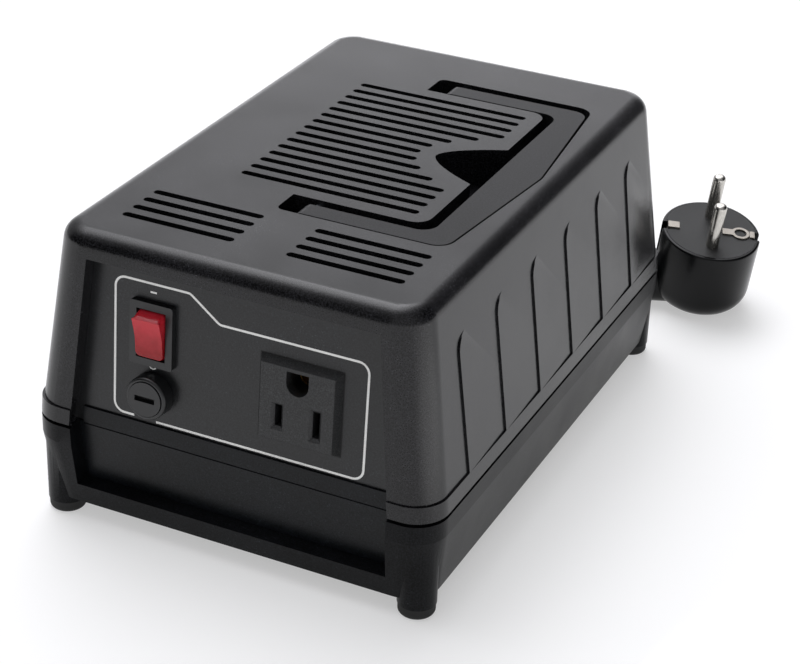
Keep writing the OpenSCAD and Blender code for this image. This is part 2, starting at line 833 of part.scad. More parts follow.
function vent_end(dy) = min(vent_x + top_vent_len / 2, scoop_tip - vent_dip + dy ^ 2 / vent_dip_rate);

module top_vent_cuts() {
  translate([0, 0, case_h - 2 * wall])
    linear_extrude(2 * wall + over) {
      for (i = [0 : front_vents - 1], side = [0, 1])
        translate([vent_x, front_vent_in - case_d / 2 + (i - (front_vents - 1) / 2) * vent_pitch])
          mirror([side, 0]) slot(front_vent_gap / 2, front_vent_gap / 2 + front_vent_len, vent_w);
      for (i = [0 : top_vents - 1]) {
        dy = (i - (top_vents - 1) / 2) * vent_pitch;
        translate([0, handle_y + dy]) slot(vent_x - top_vent_len / 2, vent_end(dy), vent_w);
      }
    }
}

// One sloping tile on the right side: proud at its front, flush at its back and top
module side_tile(y, run) {
  low = skirt_h - play_fit;
  high = (case_h - tile_top_in - cover_z) / cos(side_lean);
  fade = tile_corner_r / sqrt(2);
  translate([cover_w / 2, y, cover_z]) rotate([0, -side_lean, 0]) intersection() {
    linear_extrude(high) polygon([[-tile_proud, 0], [tile_proud, 0], [press_fit, run], [-tile_proud, run]]);
    rotate([90, 0, 90]) translate([0, 0, -wall]) linear_extrude(2 * wall)
      polygon(rounded([[0, low], [run, low], [run, high], [0, high]], [0, 0, 0, tile_corner_r]));
    translate([0, tile_corner_r - tile_proud, high]) rotate([225, 0, 0])
      linear_extrude(4 * high, center = true)
      polygon([[-tile_proud, -fade], [tile_proud, fade], [tile_proud, 2 * high], [-tile_proud, 2 * high]]);
  }
}

module upper_cover() {
  color("#2c2d2f") difference() {
    union() {
      tapered_block(cover_w, cover_d, cover_z, top_w, top_d, case_h, corner_r, top_edge_r);
      tapered_tray(case_w, case_d, cover_z, skirt_top_w, skirt_top_d, cover_z + skirt_h, corner_r);
      for (side = [0, 1], i = [0 : tile_count - 1])
        mirror([side, 0, 0])
          side_tile(tile_start + i * tile_pitch, tile_pitch * (i < tile_count - 1 ? 1 : tile_last));
    }
    difference() {
      tapered_block(
        cover_w - 2 * wall, cover_d - 2 * wall, cover_z - over,
        top_w - 2 * wall, top_d - 2 * wall, case_h - wall, corner_r - wall, top_edge_r - wall
      );
      cover_inside();
    }
    for (back = [0, 1])
      mirror([0, back, 0]) on_panel() translate([0, 0, -over])
        linear_extrude(frame_out + 2 * over) polygon(upper_opening(0));
    translate([0, handle_y, case_h - recess_deep])
      linear_extrude(recess_deep + over) handle_channel(0);
    translate([0, handle_y, case_h - scoop_deep])
      linear_extrude(scoop_deep + over) polygon(scoop_outline(0));
    top_vent_cuts();
    handle_pin_pair(pivot_r + press_fit, play_fit);
    at_corners(post_x, post_y)
      translate([0, 0, cover_z - over])
        cylinder(r = screw_r + press_fit, h = base_z + screw_sink + screw_len - cover_z + 2 * over);
  }
}

// Solid that the lower case keeps inside: frames, rails, legs, bosses and the transformer's seats
module base_inside() {
  for (back = [0, 1])
    mirror([0, back, 0]) on_lower() {
      linear_extrude(frame_out) polygon(lower_opening(opening_rim));
      for (side = both)
        translate([
          side * (opening_bottom_w / 2 - rail_in / 2 + rail_out / 2),
          -opening_down / 2,
          -panel_t - rail_t / 2
        ])
          cube([rail_out, opening_down / 2, rail_t], center = true);
    }
  at_corners(leg_x, leg_y) cylinder(r = leg_r, h = leg_top);
  at_corners(post_x, post_y) cylinder(r = post_r, h = cover_z);
  for (side = both)
    translate([side * 2 * limb - core_rib_w / 2, core_y - core_stack / 2, 0])
      cube([core_rib_w, core_stack, core_z]);
  translate([0, core_y, 0])
    at_corners(strap_hole_x, strap_hole_step / 2) cylinder(r = strap_boss_r, h = core_z);
}

module lower_case() {
  color("#232527") difference() {
    union() {
      tapered_tray(base_w, base_d, base_z, case_w, case_d, band_z, corner_r);
      translate([0, 0, band_z])
        linear_extrude(band_h - 3 * seam_gap / 4) rounded_rect(case_w, case_d, corner_r);
      translate([0, 0, band_z])
        linear_extrude(band_h + seam_gap / 4)
          rounded_rect(case_w - 2 * seam_groove, case_d - 2 * seam_groove, corner_r - seam_groove);
      at_corners(leg_x, leg_y)
        translate([0, 0, foot_h]) cylinder(r = leg_r, h = leg_top - foot_h);
    }
    difference() {
      union() {
        tapered_tray(
          base_w - 2 * wall, base_d - 2 * wall, base_floor,
          case_w - 2 * wall, case_d - 2 * wall, band_z + 0.1, corner_r - wall
        );
        translate([0, 0, band_z])
          linear_extrude(band_h + over)
            rounded_rect(case_w - 2 * wall, case_d - 2 * wall, corner_r - wall);
      }
      base_inside();
    }
    for (back = [0, 1])
      mirror([0, back, 0]) on_lower() translate([0, 0, -over])
        linear_extrude(frame_out + 2 * over) polygon(lower_opening(0));
    for (i = [0 : floor_vents - 1])
      translate([0, floor_vent_y + (i - (floor_vents - 1) / 2) * vent_pitch, base_z - over])
        linear_extrude(wall + 2 * over) slot(-floor_vent_len / 2, floor_vent_len / 2, vent_w);
    at_corners(post_x, post_y) {
      cylinder(r = screw_r + play_fit, h = cover_z + over);
      translate([0, 0, base_z - over])
        cylinder(r = screw_head_r + play_fit, h = screw_sink + over);
    }
    at_corners(leg_x, leg_y)
      cylinder(r = foot_stem_r + push_fit, h = foot_h + foot_stem_h + play_fit);
    translate([0, core_y, base_floor])
      at_corners(strap_hole_x, strap_hole_step / 2)
        cylinder(r = screw_r + press_fit, h = core_rib_h + over);
  }
}

// Panels

module panel_plate() {
  low = panel_t * tan(front_lean) + push_fit;
  at_low = opening_seam_w / 2 + panel_lap - low * opening_slope;
  high = opening_up + panel_lap;
  at_high = opening_top_w / 2 + panel_lap - panel_lap * opening_slope;
  translate([0, 0, -panel_t])
    linear_extrude(panel_t)
      polygon([[-at_low, low], [at_low, low], [at_high, high], [-at_high, high]]);
}

switch_edge = 2 * (switch_lip - play_fit);
outlet_hole = outlet_body_side + 2 * play_fit;

module front_panel() {
  color("#303336") on_panel() difference() {
    panel_plate();
    translate([switch_x, switch_up, 0])
      cube([switch_w - switch_edge, switch_h - switch_edge, 4 * panel_t], center = true);
    translate([outlet_x, outlet_up, 0])
      cube([outlet_hole, outlet_hole, 4 * panel_t], center = true);
    translate([fuse_x, fuse_up, -2 * panel_t])
      cylinder(r = fuse_body_r + play_fit / 2, h = 4 * panel_t);
  }
}

module rear_panel() {
  color("#303336") at_back() on_panel() difference() {
    panel_plate();
    translate([0, opening_up / 2, -panel_t - over])
      linear_extrude(panel_t + 2 * over)
        for (i = [0 : rear_vents - 1])
          translate([0, (i - (rear_vents - 1) / 2) * vent_pitch])
            slot(-rear_vent_len / 2, rear_vent_len / 2, vent_w);
  }
}

// Points of the middle section of the panel and of the lower plate, seen from the side
function upper_section(up, out) = [panel_point(0, up, out)[1], panel_point(0, up, out)[2]];
function lower_section(up, out) = [-rear_point(0, up, out)[1], rear_point(0, up, out)[2]];

// Plate below the seam, with a raised pad that laps over the foot of the panel above it
module lower_plate() {
  half_seam = opening_seam_w / 2 + panel_lap / 2;
  half_low = opening_bottom_w / 2 + panel_lap;
  low = -opening_down - panel_lap;
  high = -panel_t * tan(lower_lean);
  pad_low = -opening_down + play_fit;
  // The pad's root lies inside the plate
  root = panel_t / 2;
  on_lower() translate([0, 0, -panel_t])
    linear_extrude(panel_t)
      polygon([[-half_low, low], [half_low, low], [half_seam, high], [-half_seam, high]]);
  difference() {
    rotate([90, 0, 90])
      linear_extrude(opening_bottom_w - 2 * lap_in, center = true)
        polygon([
          lower_section(pad_low, -root), lower_section(pad_low, lap_t), [panel_y - lap_t, seam_z],
          upper_section(lap_h, lap_t), upper_section(lap_h, 0), [panel_y, seam_z],
          lower_section(high - root, -root)
        ]);
    translate([-case_w / 2, panel_y - lap_t - over, seam_z - crease_w])
      cube([case_w, lap_t / 2 + over, crease_w]);
  }
}

module lower_front_plate() {
  color("#2a2d30") lower_plate();
}

module lower_rear_plate() {
  color("#2a2d30") difference() {
    at_back() lower_plate();
    on_gland() translate([0, 0, -4 * panel_t])
      cylinder(r = gland_neck_r + push_fit, h = 8 * panel_t);
  }
}

// Feet and case screws

module foot(sx, sy) {
  color("#151515") translate([sx * leg_x, sy * leg_y, 0])
    rotate_extrude() polygon(concat(
      [[0, 0]],
      [
        for (i = [0 : arc_steps])
          let (a = -90 + 90 * i / arc_steps)
          [foot_r - foot_edge_r + foot_edge_r * cos(a), foot_edge_r + foot_edge_r * sin(a)]
      ],
      [[foot_r, foot_h], [foot_stem_r, foot_h]],
      [[foot_stem_r, foot_h + foot_stem_h], [0, foot_h + foot_stem_h]]
    ));
}

module foot_front_left() foot(-1, -1);
module foot_front_right() foot(1, -1);
module foot_rear_left() foot(-1, 1);
module foot_rear_right() foot(1, 1);

// Screw that stands on its head: head from z = 0 down, shank upwards
module screw(shank) {
  difference() {
    translate([0, 0, -screw_head_h]) cylinder(r = screw_head_r, h = screw_head_h);
    for (turn = [0, 90])
      rotate([0, 0, turn])
        translate([-screw_head_r * 0.6, -0.4, -screw_head_h - over])
          cube([screw_head_r * 1.2, 0.8, over + screw_head_h / 2]);
  }
  cylinder(r = screw_r, h = shank);
}

module case_screws() {
  color("#8c8f92") at_corners(post_x, post_y)
    translate([0, 0, base_z + screw_sink]) screw(screw_len);
}

// Handle

module handle_pin_pair(r, extra) {
  reach = 2 * tub_wall + (recess_len - tongue_len) / 2;
  for (side = both)
    translate([pivot_x, handle_y + side * (recess_len / 2 + tub_wall - reach / 2), pivot_z])
      rotate([90, 0, 0]) cylinder(r = r, h = reach + 2 * extra, center = true, $fn = 32);
}

module handle_pins() {
  color("#9a9da0") handle_pin_pair(pivot_r, 0);
}

// Outline of the handle, about its own middle
function handle_outline() =
  let (
    half = handle_len / 2,
    off = handle_mid - handle_y,
    right = recess_right - handle_gap,
    r = recess_corner_r - handle_gap
  )
  rounded(
    [[pivot_x, -half], [right, -half], [right + recess_bow, -off], [right, half], [pivot_x, half]],
    [0, r, 2 * r, r, 0]
  );

module carry_handle() {
  inner = handle_len / 2 - arm_w;
  color("#303133") difference() {
    translate([0, handle_mid, 0]) {
      translate([0, 0, case_h - handle_t])
        linear_extrude(handle_t)
          difference() {
            polygon(handle_outline());
            polygon(rounded(
              [[pivot_x - over, -inner], [grip_in, -inner], [grip_in, inner], [pivot_x - over, inner]],
              [0, grip_corner_r, grip_corner_r, 0]
            ));
          }
      for (side = both)
        translate([pivot_x, side * (inner + arm_w / 2), pivot_z])
          rotate([90, 0, 0]) cylinder(r = handle_t / 2, h = arm_w, center = true);
    }
    handle_pin_pair(pivot_r + pivot_fit, play_fit);
  }
}

// Switch

module on_switch() {
  on_panel() translate([switch_x, switch_up, 0])
    children();
}

switch_window_w = switch_w - 2 * switch_lip - 2 * switch_wall;
switch_window_h = 2 * (rocker_r + rocker_gap);
switch_pocket = switch_deep - 4;

module switch_housing() {
  body_w = switch_w - 2 * switch_lip;
  body_h = switch_h - 2 * switch_lip;
  color("#1c1d1f") on_switch() difference() {
    union() {
      translate([-switch_w / 2, -switch_h / 2, 0]) cube([switch_w, switch_h, switch_bezel_t]);
      translate([-body_w / 2, -body_h / 2, -switch_deep])
        cube([body_w, body_h, switch_deep + switch_bezel_t / 2]);
    }
    translate([-switch_window_w / 2, -switch_window_h / 2, -switch_pocket])
      cube([switch_window_w, switch_window_h, switch_pocket + switch_bezel_t + over]);
    rotate([0, 90, 0]) cylinder(r = rocker_pin_r + pivot_fit, h = body_w - 0.6, center = true);
  }
}

module switch_rocker() {
  width = switch_window_w - 2 * rocker_gap;
  color("#c8202a") on_switch() rotate([rocker_tilt, 0, 0]) {
    intersection() {
      rotate([0, 90, 0]) cylinder(r = rocker_r, h = width, center = true);
      rotate([90, 0, 90])
        linear_extrude(2 * width, center = true)
          polygon([
            [-2 * rocker_r, -rocker_under], [2 * rocker_r, -rocker_under],
            [2 * rocker_r, 2 * rocker_end - rocker_mid], [rocker_r, rocker_end],
            [0, rocker_mid],
            [-rocker_r, rocker_end], [-2 * rocker_r, 2 * rocker_end - rocker_mid]
          ]);
    }
    rotate([0, 90, 0])
      cylinder(r = rocker_pin_r, h = switch_w - 2 * switch_lip - 0.8, center = true);
  }
}

module switch_terminals() {
  color("#c9a24a") on_switch() for (i = [-1 : 1])
    translate([-tab_w / 2, i * switch_tab_step - tab_t / 2, -switch_deep - tab_len])
      cube([tab_w, tab_t, tab_len]);
}

module switch_lamp() {
  color("#ffb070") on_switch() translate([0, 0, -switch_pocket + lamp_r])
    rotate([90, 0, 0]) cylinder(r = lamp_r, h = lamp_len, center = true, $fn = 32);
}

// Outlet

module on_outlet() {
  on_panel() translate([outlet_x, outlet_up, 0])
    children();
}

// Hole of the face with its bevelled lead-in, centred, cut down from the face
module lead_in_cut(w, h) {
  translate([0, 0, outlet_proud - lead_in])
    square_frustum(w, h, w + 2 * lead_in + 0.2, h + 2 * lead_in + 0.2, lead_in + 0.1);
}

module at_blades() {
  translate([-blade_step / 2, -blade_down, 0]) children(0);
  translate([blade_step / 2, -blade_down, 0]) children(1);
}

module blade_cut(h) {
  translate([-blade_slot_w / 2, -h / 2, -outlet_deep])
    cube([blade_slot_w, h, outlet_deep + outlet_proud + over]);
  lead_in_cut(blade_slot_w, h);
  translate([-chamber_w / 2, -chamber_h / 2, -outlet_deep - over])
    cube([chamber_w, chamber_h, outlet_deep + over + outlet_proud - outlet_skin]);
}

module outlet_body() {
  earth_y = earth_up - blade_down;
  earth_hole = earth_r + lead_in;
  color("#26282a") on_outlet() difference() {
    union() {
      square_frustum(outlet_side, outlet_side, outlet_face, outlet_face, outlet_proud);
      translate([-outlet_body_side / 2, -outlet_body_side / 2, -outlet_deep])
        cube([outlet_body_side, outlet_body_side, outlet_deep + outlet_proud / 2]);
    }
    at_blades() {
      blade_cut(hot_slot_h);
      blade_cut(neutral_slot_h);
    }
    translate([0, earth_y, 0]) {
      translate([0, 0, -outlet_deep / 2])
        linear_extrude(outlet_deep + outlet_proud + over) {
          circle(earth_hole);
          translate([-earth_hole, 0]) square([2 * earth_hole, earth_hole + press_fit]);
        }
      translate([-earth_chamber / 2, -earth_chamber / 2, -outlet_deep - over])
        cube([earth_chamber, earth_chamber, outlet_deep + over + outlet_proud - outlet_skin]);
    }
  }
}

earth_chamber = 2 * earth_r + 2.6;
leaf_top = outlet_proud - outlet_skin - leaf_back;
contact_tab = outlet_deep + tab_len;

module blade_contact() {
  gap = blade_slot_w - strip_t;
  for (side = both)
    translate([side * (gap + strip_t) / 2 - strip_t / 2, -tab_w / 2, leaf_top - leaf_len])
      cube([strip_t, tab_w, leaf_len]);
  translate([-chamber_w / 2, -tab_w / 2, leaf_top - leaf_len - tab_t])
    cube([chamber_w, tab_w, tab_t]);
  translate([-tab_t / 2, -tab_w / 2, -contact_tab])
    cube([tab_t, tab_w, contact_tab + leaf_top - leaf_len - tab_t / 2]);
}

module hot_contact() {
  color("#c9a24a") on_outlet() translate([-blade_step / 2, -blade_down, 0])
    blade_contact();
}

module neutral_contact() {
  color("#c9a24a") on_outlet() translate([blade_step / 2, -blade_down, 0])
    blade_contact();
}

module earth_contact() {
  color("#c9a24a") on_outlet() translate([0, earth_up - blade_down, 0]) {
    difference() {
      translate([0, 0, leaf_top - leaf_len]) cylinder(r = earth_r + strip_t, h = leaf_len);
      translate([0, 0, leaf_top - leaf_len - over])
        cylinder(r = earth_r, h = leaf_len + 2 * over);
    }
    translate([-earth_chamber / 2, -tab_w / 2, leaf_top - leaf_len - tab_t])
      cube([earth_chamber, tab_w, tab_t]);
    translate([-tab_t / 2, -tab_w / 2, -contact_tab])
      cube([tab_t, tab_w, contact_tab + leaf_top - leaf_len - tab_t / 2]);
  }
}

// Fuse holder

module on_fuse() {
  on_panel() translate([fuse_x, fuse_up, 0])
    children();
}

cap_seat = fuse_ring_t + cap_proud - cap_t;
carrier_end = cap_seat - carrier_len;
// The front of the fuse lies in the carrier's clip
fuse_front = carrier_end + fuse_end_len;
fuse_back = fuse_front - fuse_len;

module fuse_holder() {
  color("#1a1b1c") on_fuse() difference() {
    union() {
      rotate_extrude() polygon([
        [0, 0], [fuse_ring_r, 0], [fuse_ring_r, fuse_ring_t - fuse_bevel],
        [fuse_ring_r - fuse_bevel, fuse_ring_t], [0, fuse_ring_t]
      ]);
      translate([0, 0, -fuse_body_len]) cylinder(r = fuse_body_r, h = fuse_body_len + over);
    }
    translate([0, 0, cap_seat]) cylinder(r = cap_r + cap_fit, h = fuse_ring_t);
    translate([0, 0, fuse_back]) cylinder(r = fuse_bore_r, h = fuse_body_len + fuse_ring_t);
  }
}

module fuse_nut() {
  color("#2b2d2f") on_fuse() translate([0, 0, -panel_t - fuse_nut_t])
    difference() {
      cylinder(r = fuse_nut_af / sqrt(3), h = fuse_nut_t, $fn = 6);
      translate([0, 0, -over]) cylinder(r = fuse_body_r + push_fit, h = fuse_nut_t + 2 * over);
    }
}

module fuse_terminals() {
  color("#c9a24a") on_fuse() {
    translate([-tab_w / 2, -tab_t / 2, -fuse_body_len - fuse_tab_len])
      cube([tab_w, tab_t, fuse_tab_len]);
    difference() {
      translate([0, -tab_t / 2, -fuse_side_tab - tab_w / 2])
        cube([fuse_body_r + fuse_tab_len, tab_t, tab_w]);
      translate([0, 0, -fuse_body_len]) cylinder(r = fuse_body_r, h = fuse_body_len);
    }
  }
}

module fuse_cap() {
  color("#242628") on_fuse() difference() {
    union() {
      translate([0, 0, cap_seat]) cylinder(r = cap_r, h = cap_t);
      translate([0, 0, carrier_end])
        cylinder(r = fuse_bore_r - cap_fit, h = carrier_len + over);
    }
    translate([-cap_slot_len / 2, -cap_slot_w / 2, cap_seat + cap_t - cap_slot_deep])
      cube([cap_slot_len, cap_slot_w, cap_slot_deep + over]);
    translate([0, 0, carrier_end - over])
      cylinder(r = fuse_end_r + cap_fit, h = fuse_end_len + over);
  }
}

module fuse_glass() {
  color("#d8e4e8") on_fuse() translate([0, 0, fuse_back + fuse_end_len])
    cylinder(r = fuse_glass_r, h = fuse_len - 2 * fuse_end_len);
}

module fuse_ends() {
  color("#b9bcc0") on_fuse() for (z = [fuse_back, fuse_front - fuse_end_len])
    translate([0, 0, z]) cylinder(r = fuse_end_r, h = fuse_end_len);
}

// Transformer

module lamination_stack(outline_h) {
  translate([0, core_y + core_stack / 2, core_z])
    rotate([90, 0, 0])
      linear_extrude(core_stack) translate([-core_w / 2, 0]) square([core_w, outline_h]);
}

module core_e_laminations() {
  color("#6d6f72") difference() {
    lamination_stack(core_h - limb);
    for (side = both)
      translate([side * 1.5 * limb - limb / 2, core_y - core_stack, core_z + limb])
        cube([limb, 2 * core_stack, window_h + over]);
  }
}

module core_i_laminations() {
  color("#77797c") translate([0, 0, core_h - limb])
    lamination_stack(limb);
}

module core_block(w, d, h) {
  translate([-w / 2, core_y - d / 2, 0]) cube([w, d, h]);
}

module bobbin() {
  flange_x = 4 * limb - 0.6;
  flange_y = winding_y;
  color("#e4e0d0") translate([0, 0, bobbin_z])
    difference() {
      union() {
        core_block(winding_in_x, winding_in_y, bobbin_h);
        for (z = [0, bobbin_h - bobbin_t])
          translate([0, 0, z]) core_block(flange_x, flange_y, bobbin_t);
      }
      translate([0, 0, -over]) core_block(bobbin_in_x, bobbin_in_y, bobbin_h + 2 * over);
    }
}

module wound_ring(out_x, out_y, in_x, in_y, r_out, r_in, h) {
  translate([0, core_y, 0])
    linear_extrude(h)
      difference() {
        rounded_rect(out_x, out_y, r_out);
        if (r_in > 0)
          rounded_rect(in_x, in_y, r_in);
        else
          square([in_x, in_y], center = true);
      }
}

module winding() {
  color("#b06a32") translate([0, 0, winding_z])
    wound_ring(winding_x, winding_y, winding_in_x, winding_in_y, winding_r, 0, winding_h);
}

module insulation_tape() {
  color("#d8c44a") translate([0, 0, tape_z])
    wound_ring(tape_x, tape_y, winding_x, winding_y, winding_r + tape_t, winding_r, tape_h);
}

module thermal_cutout() {
  color("#3a3a3c")
    translate([-cutout_len / 2, tape_front - cutout_t, tape_z + tape_h - 2 * cutout_w])
      cube([cutout_len, cutout_t, cutout_w]);
}

module core_bracket() {
  top = core_z + core_h;
  color("#a8abae") translate([0, core_y - strap_w / 2, 0])
    difference() {
      union() {
        translate([-core_w / 2 - strap_t, 0, top])
          cube([core_w + 2 * strap_t, strap_w, strap_t]);
        for (side = both) {
          translate([side * (core_w + strap_t) / 2 - strap_t / 2, 0, core_z])
            cube([strap_t, strap_w, core_h + strap_t]);
          translate([side * (core_w + strap_foot) / 2 - strap_foot / 2, 0, core_z])
            cube([strap_foot, strap_w, strap_t]);
        }
      }
      translate([0, strap_w / 2, core_z - over])
        at_corners(strap_hole_x, strap_hole_step / 2)
          cylinder(r = screw_r + play_fit, h = strap_t + 2 * over);
    }
}

module bracket_screws() {
  color("#8c8f92") translate([0, core_y, core_z + strap_t])
    at_corners(strap_hole_x, strap_hole_step / 2)
      rotate([180, 0, 0]) screw(strap_t + core_rib_h - play_fit);
}

// Inner wires, each square on the faces that it joins

module wire(points, colour) {
  n = len(points);
  inner = [for (i = [1 : n - 2]) points[i]];
  color(colour) tube(concat([points[0]], smoothed(inner), [points[n - 1]]), wire_d / 2, 8);
}

wire_step = wire_d + play_fit;
// Ends of the wires, and points some way out of them
function gland_core(side, far) =
  rear_point(gland_x + side * wire_step, -gland_down, -panel_t - gland_nut_t - far);
function fuse_tab(far) = panel_point(fuse_x, fuse_up, -fuse_body_len - fuse_tab_len - far);
function side_tab(far) = panel_point(fuse_x + fuse_body_r + fuse_tab_len + far, fuse_up, -fuse_side_tab);
function switch_tab(i, far) =
  panel_point(switch_x, switch_up + i * switch_tab_step, -switch_deep - tab_len - far);
function outlet_tab(x, up, far) = panel_point(outlet_x + x, outlet_up + up, -contact_tab - far);
function winding_lead(x, far) = [x * winding_x / 2, tape_front - far, winding_z + winding_h / 3];
// Places beside, behind and before the transformer, in shares of half its width, the way and its height
function wire_place(x, y, z) = [x * core_w / 2, y, core_z + z * core_h];
function beside(x, y, z) = wire_place(x, core_y + y * tape_y / 2, z);
function behind(x, y, z) = wire_place(x, tape_back + y * (gland_core(0, 0)[1] - tape_back), z);
function before(x, y, z) = wire_place(x, tape_front + y * (switch_tab(0, 0)[1] - tape_front), z);
wire_out = 2 * wire_d;

module wire_live() {
  wire(
    [
      gland_core(-1, 0), gland_core(-1, wire_out), behind(0.12, 0.69, 0.14), behind(-0.69, 0.53, 0.17),
      behind(-1.18, 0.06, 0.22), beside(-1.25, 0.21, 0.28), beside(-1.25, -0.69, 0.33),
      before(-1.09, 0.18, 0.44), before(-0.82, 0.3, 0.5), fuse_tab(wire_out), fuse_tab(0)
    ],
    "#7a4a22"
  );
}

module wire_fuse_to_switch() {
  wire(
    [
      side_tab(0), side_tab(wire_out), before(-0.2, 0.78, 0.58), before(-0.3, 0.64, 0.69),
      before(-0.5, 0.66, 0.76), switch_tab(-1, wire_out), switch_tab(-1, 0)
    ],
    "#1d1d1f"
  );
}

module wire_switch_to_winding() {
  wire(
    [
      switch_tab(1, 0), switch_tab(1, wire_out), before(-0.6, 0.6, 0.86), before(-0.46, 0.35, 0.69),
      before(-0.37, 0.22, 0.53), winding_lead(-0.6, wire_out), winding_lead(-0.6, 0)
    ],
    "#1d1d1f"
  );
}

module wire_neutral() {
  wire(
    [
      gland_core(0, 0), gland_core(0, 2 * wire_out), behind(0.74, 0.52, 0.11), behind(1.16, 0.06, 0.19),
      beside(1.25, 0.21, 0.25), beside(1.25, -0.63, 0.3), before(1.02, 0.22, 0.39), before(0.6, 0.35, 0.42),
      winding_lead(0.6, wire_out), winding_lead(0.6, 0)
    ],
    "#2f5fa8"
  );
}

module wire_earth() {
  high = earth_up - blade_down;
  wire(
    [
      gland_core(1, 0), gland_core(1, wire_out), behind(0.88, 0.75, 0.17), behind(1.25, 0.22, 0.28),
      beside(1.32, 0.21, 0.39), beside(1.32, -0.84, 0.53), before(1.11, 0.39, 0.69), before(0.7, 0.52, 0.76),
      outlet_tab(0, high, wire_out), outlet_tab(0, high, 0)
    ],
    "#7fae3c"
  );
}

module wire_outlet_hot() {
  across = -blade_step / 2;
  wire(
    [
      outlet_tab(across, -blade_down, 0), outlet_tab(across, -blade_down, wire_out), before(0.32, 0.48, 0.58),
      before(0.05, 0.39, 0.47), before(-0.12, 0.22, 0.45),
      winding_lead(-0.22, wire_out), winding_lead(-0.22, 0)
    ],
    "#1d1d1f"
  );
}

module wire_outlet_neutral() {
  across = blade_step / 2;
  wire(
    [
      outlet_tab(across, -blade_down, 0), outlet_tab(across, -blade_down, wire_out), before(0.6, 0.52, 0.58),
      before(0.32, 0.35, 0.49), before(0.16, 0.22, 0.45), winding_lead(0.22, wire_out), winding_lead(0.22, 0)
    ],
    "#e8e6de"
  );
}

// Mains lead

module on_gland() {
  at_back() on_lower() translate([gland_x, -gland_down, 0])
    children();
}

gland_end = rear_point(gland_x, -gland_down, gland_len);
gland_dir = rear_point(gland_x, -gland_down, gland_len + 1) - gland_end;

module cord_gland() {
  color("#18191a") on_gland() rotate_extrude()
    polygon([
      [0, -panel_t - gland_nut_t], [gland_collar_r, -panel_t - gland_nut_t], [gland_collar_r, -panel_t],
      [gland_neck_r, -panel_t], [gland_neck_r, lap_t],
      [gland_collar_r, lap_t], [gland_collar_r, lap_t + gland_collar_t],
      [gland_neck_r + 2 * play_fit, lap_t + gland_collar_t],
      [cord_r + gland_wall, gland_len], [0, gland_len]
    ]);
}

// The coil spirals in on the floor, climbs where it turns, and spirals out on top

coil_turn_at = 360 * coil_turns_in;
coil_end_at = 360 * (coil_turns_in + coil_turns_out);
function coil_radius(a) =
  a < coil_turn_at
    ? coil_r - coil_pitch * a / 360
    : coil_r - coil_pitch * (2 * coil_turn_at - a) / 360;
function climb(a) = max(0, min(1, (a - coil_turn_at) / 180 + 0.5));
function coil_point(a) = [
  coil_c[0] + coil_radius(a) * cos(a),
  coil_c[1] + coil_radius(a) * sin(a),
  coil_z + coil_pitch * (1 - cos(180 * climb(a))) / 2
];
coil_count = round(coil_rings * (coil_turns_in + coil_turns_out));
coil_turns = [for (i = [0 : coil_count]) coil_point(coil_end_at * i / coil_count)];
coil_in_dir = [0, 1, 0];
coil_out_dir = [1, 0, 0];
coil_in = coil_turns[0] - cord_d * coil_in_dir;
coil_out = coil_turns[coil_count] + cord_d * coil_out_dir;
coil_route = concat([coil_in, coil_turns[0] - cord_d / 2 * coil_in_dir], coil_turns, [coil_out]);
// Points of different turns, half a turn or more apart, are never nearer than this
coil_gap = min([
  for (i = [0 : coil_count], j = [i + coil_rings / 2 : coil_count])
    norm(coil_turns[i] - coil_turns[j]) - cord_d
]);
echo(coil_least_gap_mm = coil_gap);  // cord_coil

// The lead's fall from the gland to the coil, in shares of the way back and down
lead_fall = [[0.27, 0.185], [0.44, 0.466], [0.61, 0.746], [0.805, 0.947]];
lead_straight = cord_d / 2;

module cord_from_gland() {
  way = coil_in - gland_end;
  color("#1b1c1d") tube(
    concat(
      [gland_end, gland_end + lead_straight * gland_dir],
      [for (s = lead_fall) gland_end + [0, s[0] * way[1], s[1] * way[2]]],
      [coil_in - lead_straight * coil_in_dir, coil_in]
    ),
    cord_r, cord_sides
  );
}

module cord_coil() {
  color("#1b1c1d") tube(coil_route, cord_r, coil_sides);
}

module cord_tie() {
  inner = coil_radius(coil_turn_at + 90) - cord_r - tie_gap;
  outer = coil_radius(coil_end_at - 90) + cord_r + tie_gap;
  low = coil_z - cord_r - 1.5 * play_fit;
  high = coil_z + coil_pitch + cord_r + tie_gap;
  color("#2a2a2c") translate([coil_c[0], coil_c[1], 0])
    rotate([90, 0, tie_angle])
      linear_extrude(tie_w, center = true)
        difference() {
          translate([inner - tie_t, low - tie_t])
            square([outer - inner + 2 * tie_t, high - low + 2 * tie_t]);
          translate([inner, low]) square([outer - inner, high - low]);
        }
}

function turned_x(p, a) = [p[0], p[1] * cos(a) - p[2] * sin(a), p[1] * sin(a) + p[2] * cos(a)];
function turned_y(p, a) = [p[0] * cos(a) + p[2] * sin(a), p[1], p[2] * cos(a) - p[0] * sin(a)];
function turned_z(p, a) = [p[0] * cos(a) - p[1] * sin(a), p[0] * sin(a) + p[1] * cos(a), p[2]];
// A point given in the frame of the plug
function plug_point(p) = plug_pos + turned_z(turned_y(turned_x(p, plug_lean), plug_roll), plug_turn);
// The boot is level, though the plug isn't
boot_root = plug_point([0, 0, (boot_r + press_fit - plug_z) / cos(plug_tip)]);
boot_dir = [-cos(plug_turn), -sin(plug_turn), 0];
boot_end = boot_root + boot_reach * boot_dir;
lead_sag = 1.6;
lead_steps = 6;

// Curve from p in direction u to q in direction v, which sags in the middle
function lead_curve(p, u, q, v, t) =
  let (
    way = norm(q - p),
    a = way * u,
    b = way * v
  )
  p + a * t + (3 * (q - p) - 2 * a - b) * t ^ 2 + (2 * (p - q) + a + b) * t ^ 3
  - [0, 0, lead_sag * (1 - cos(360 * t)) / 2];

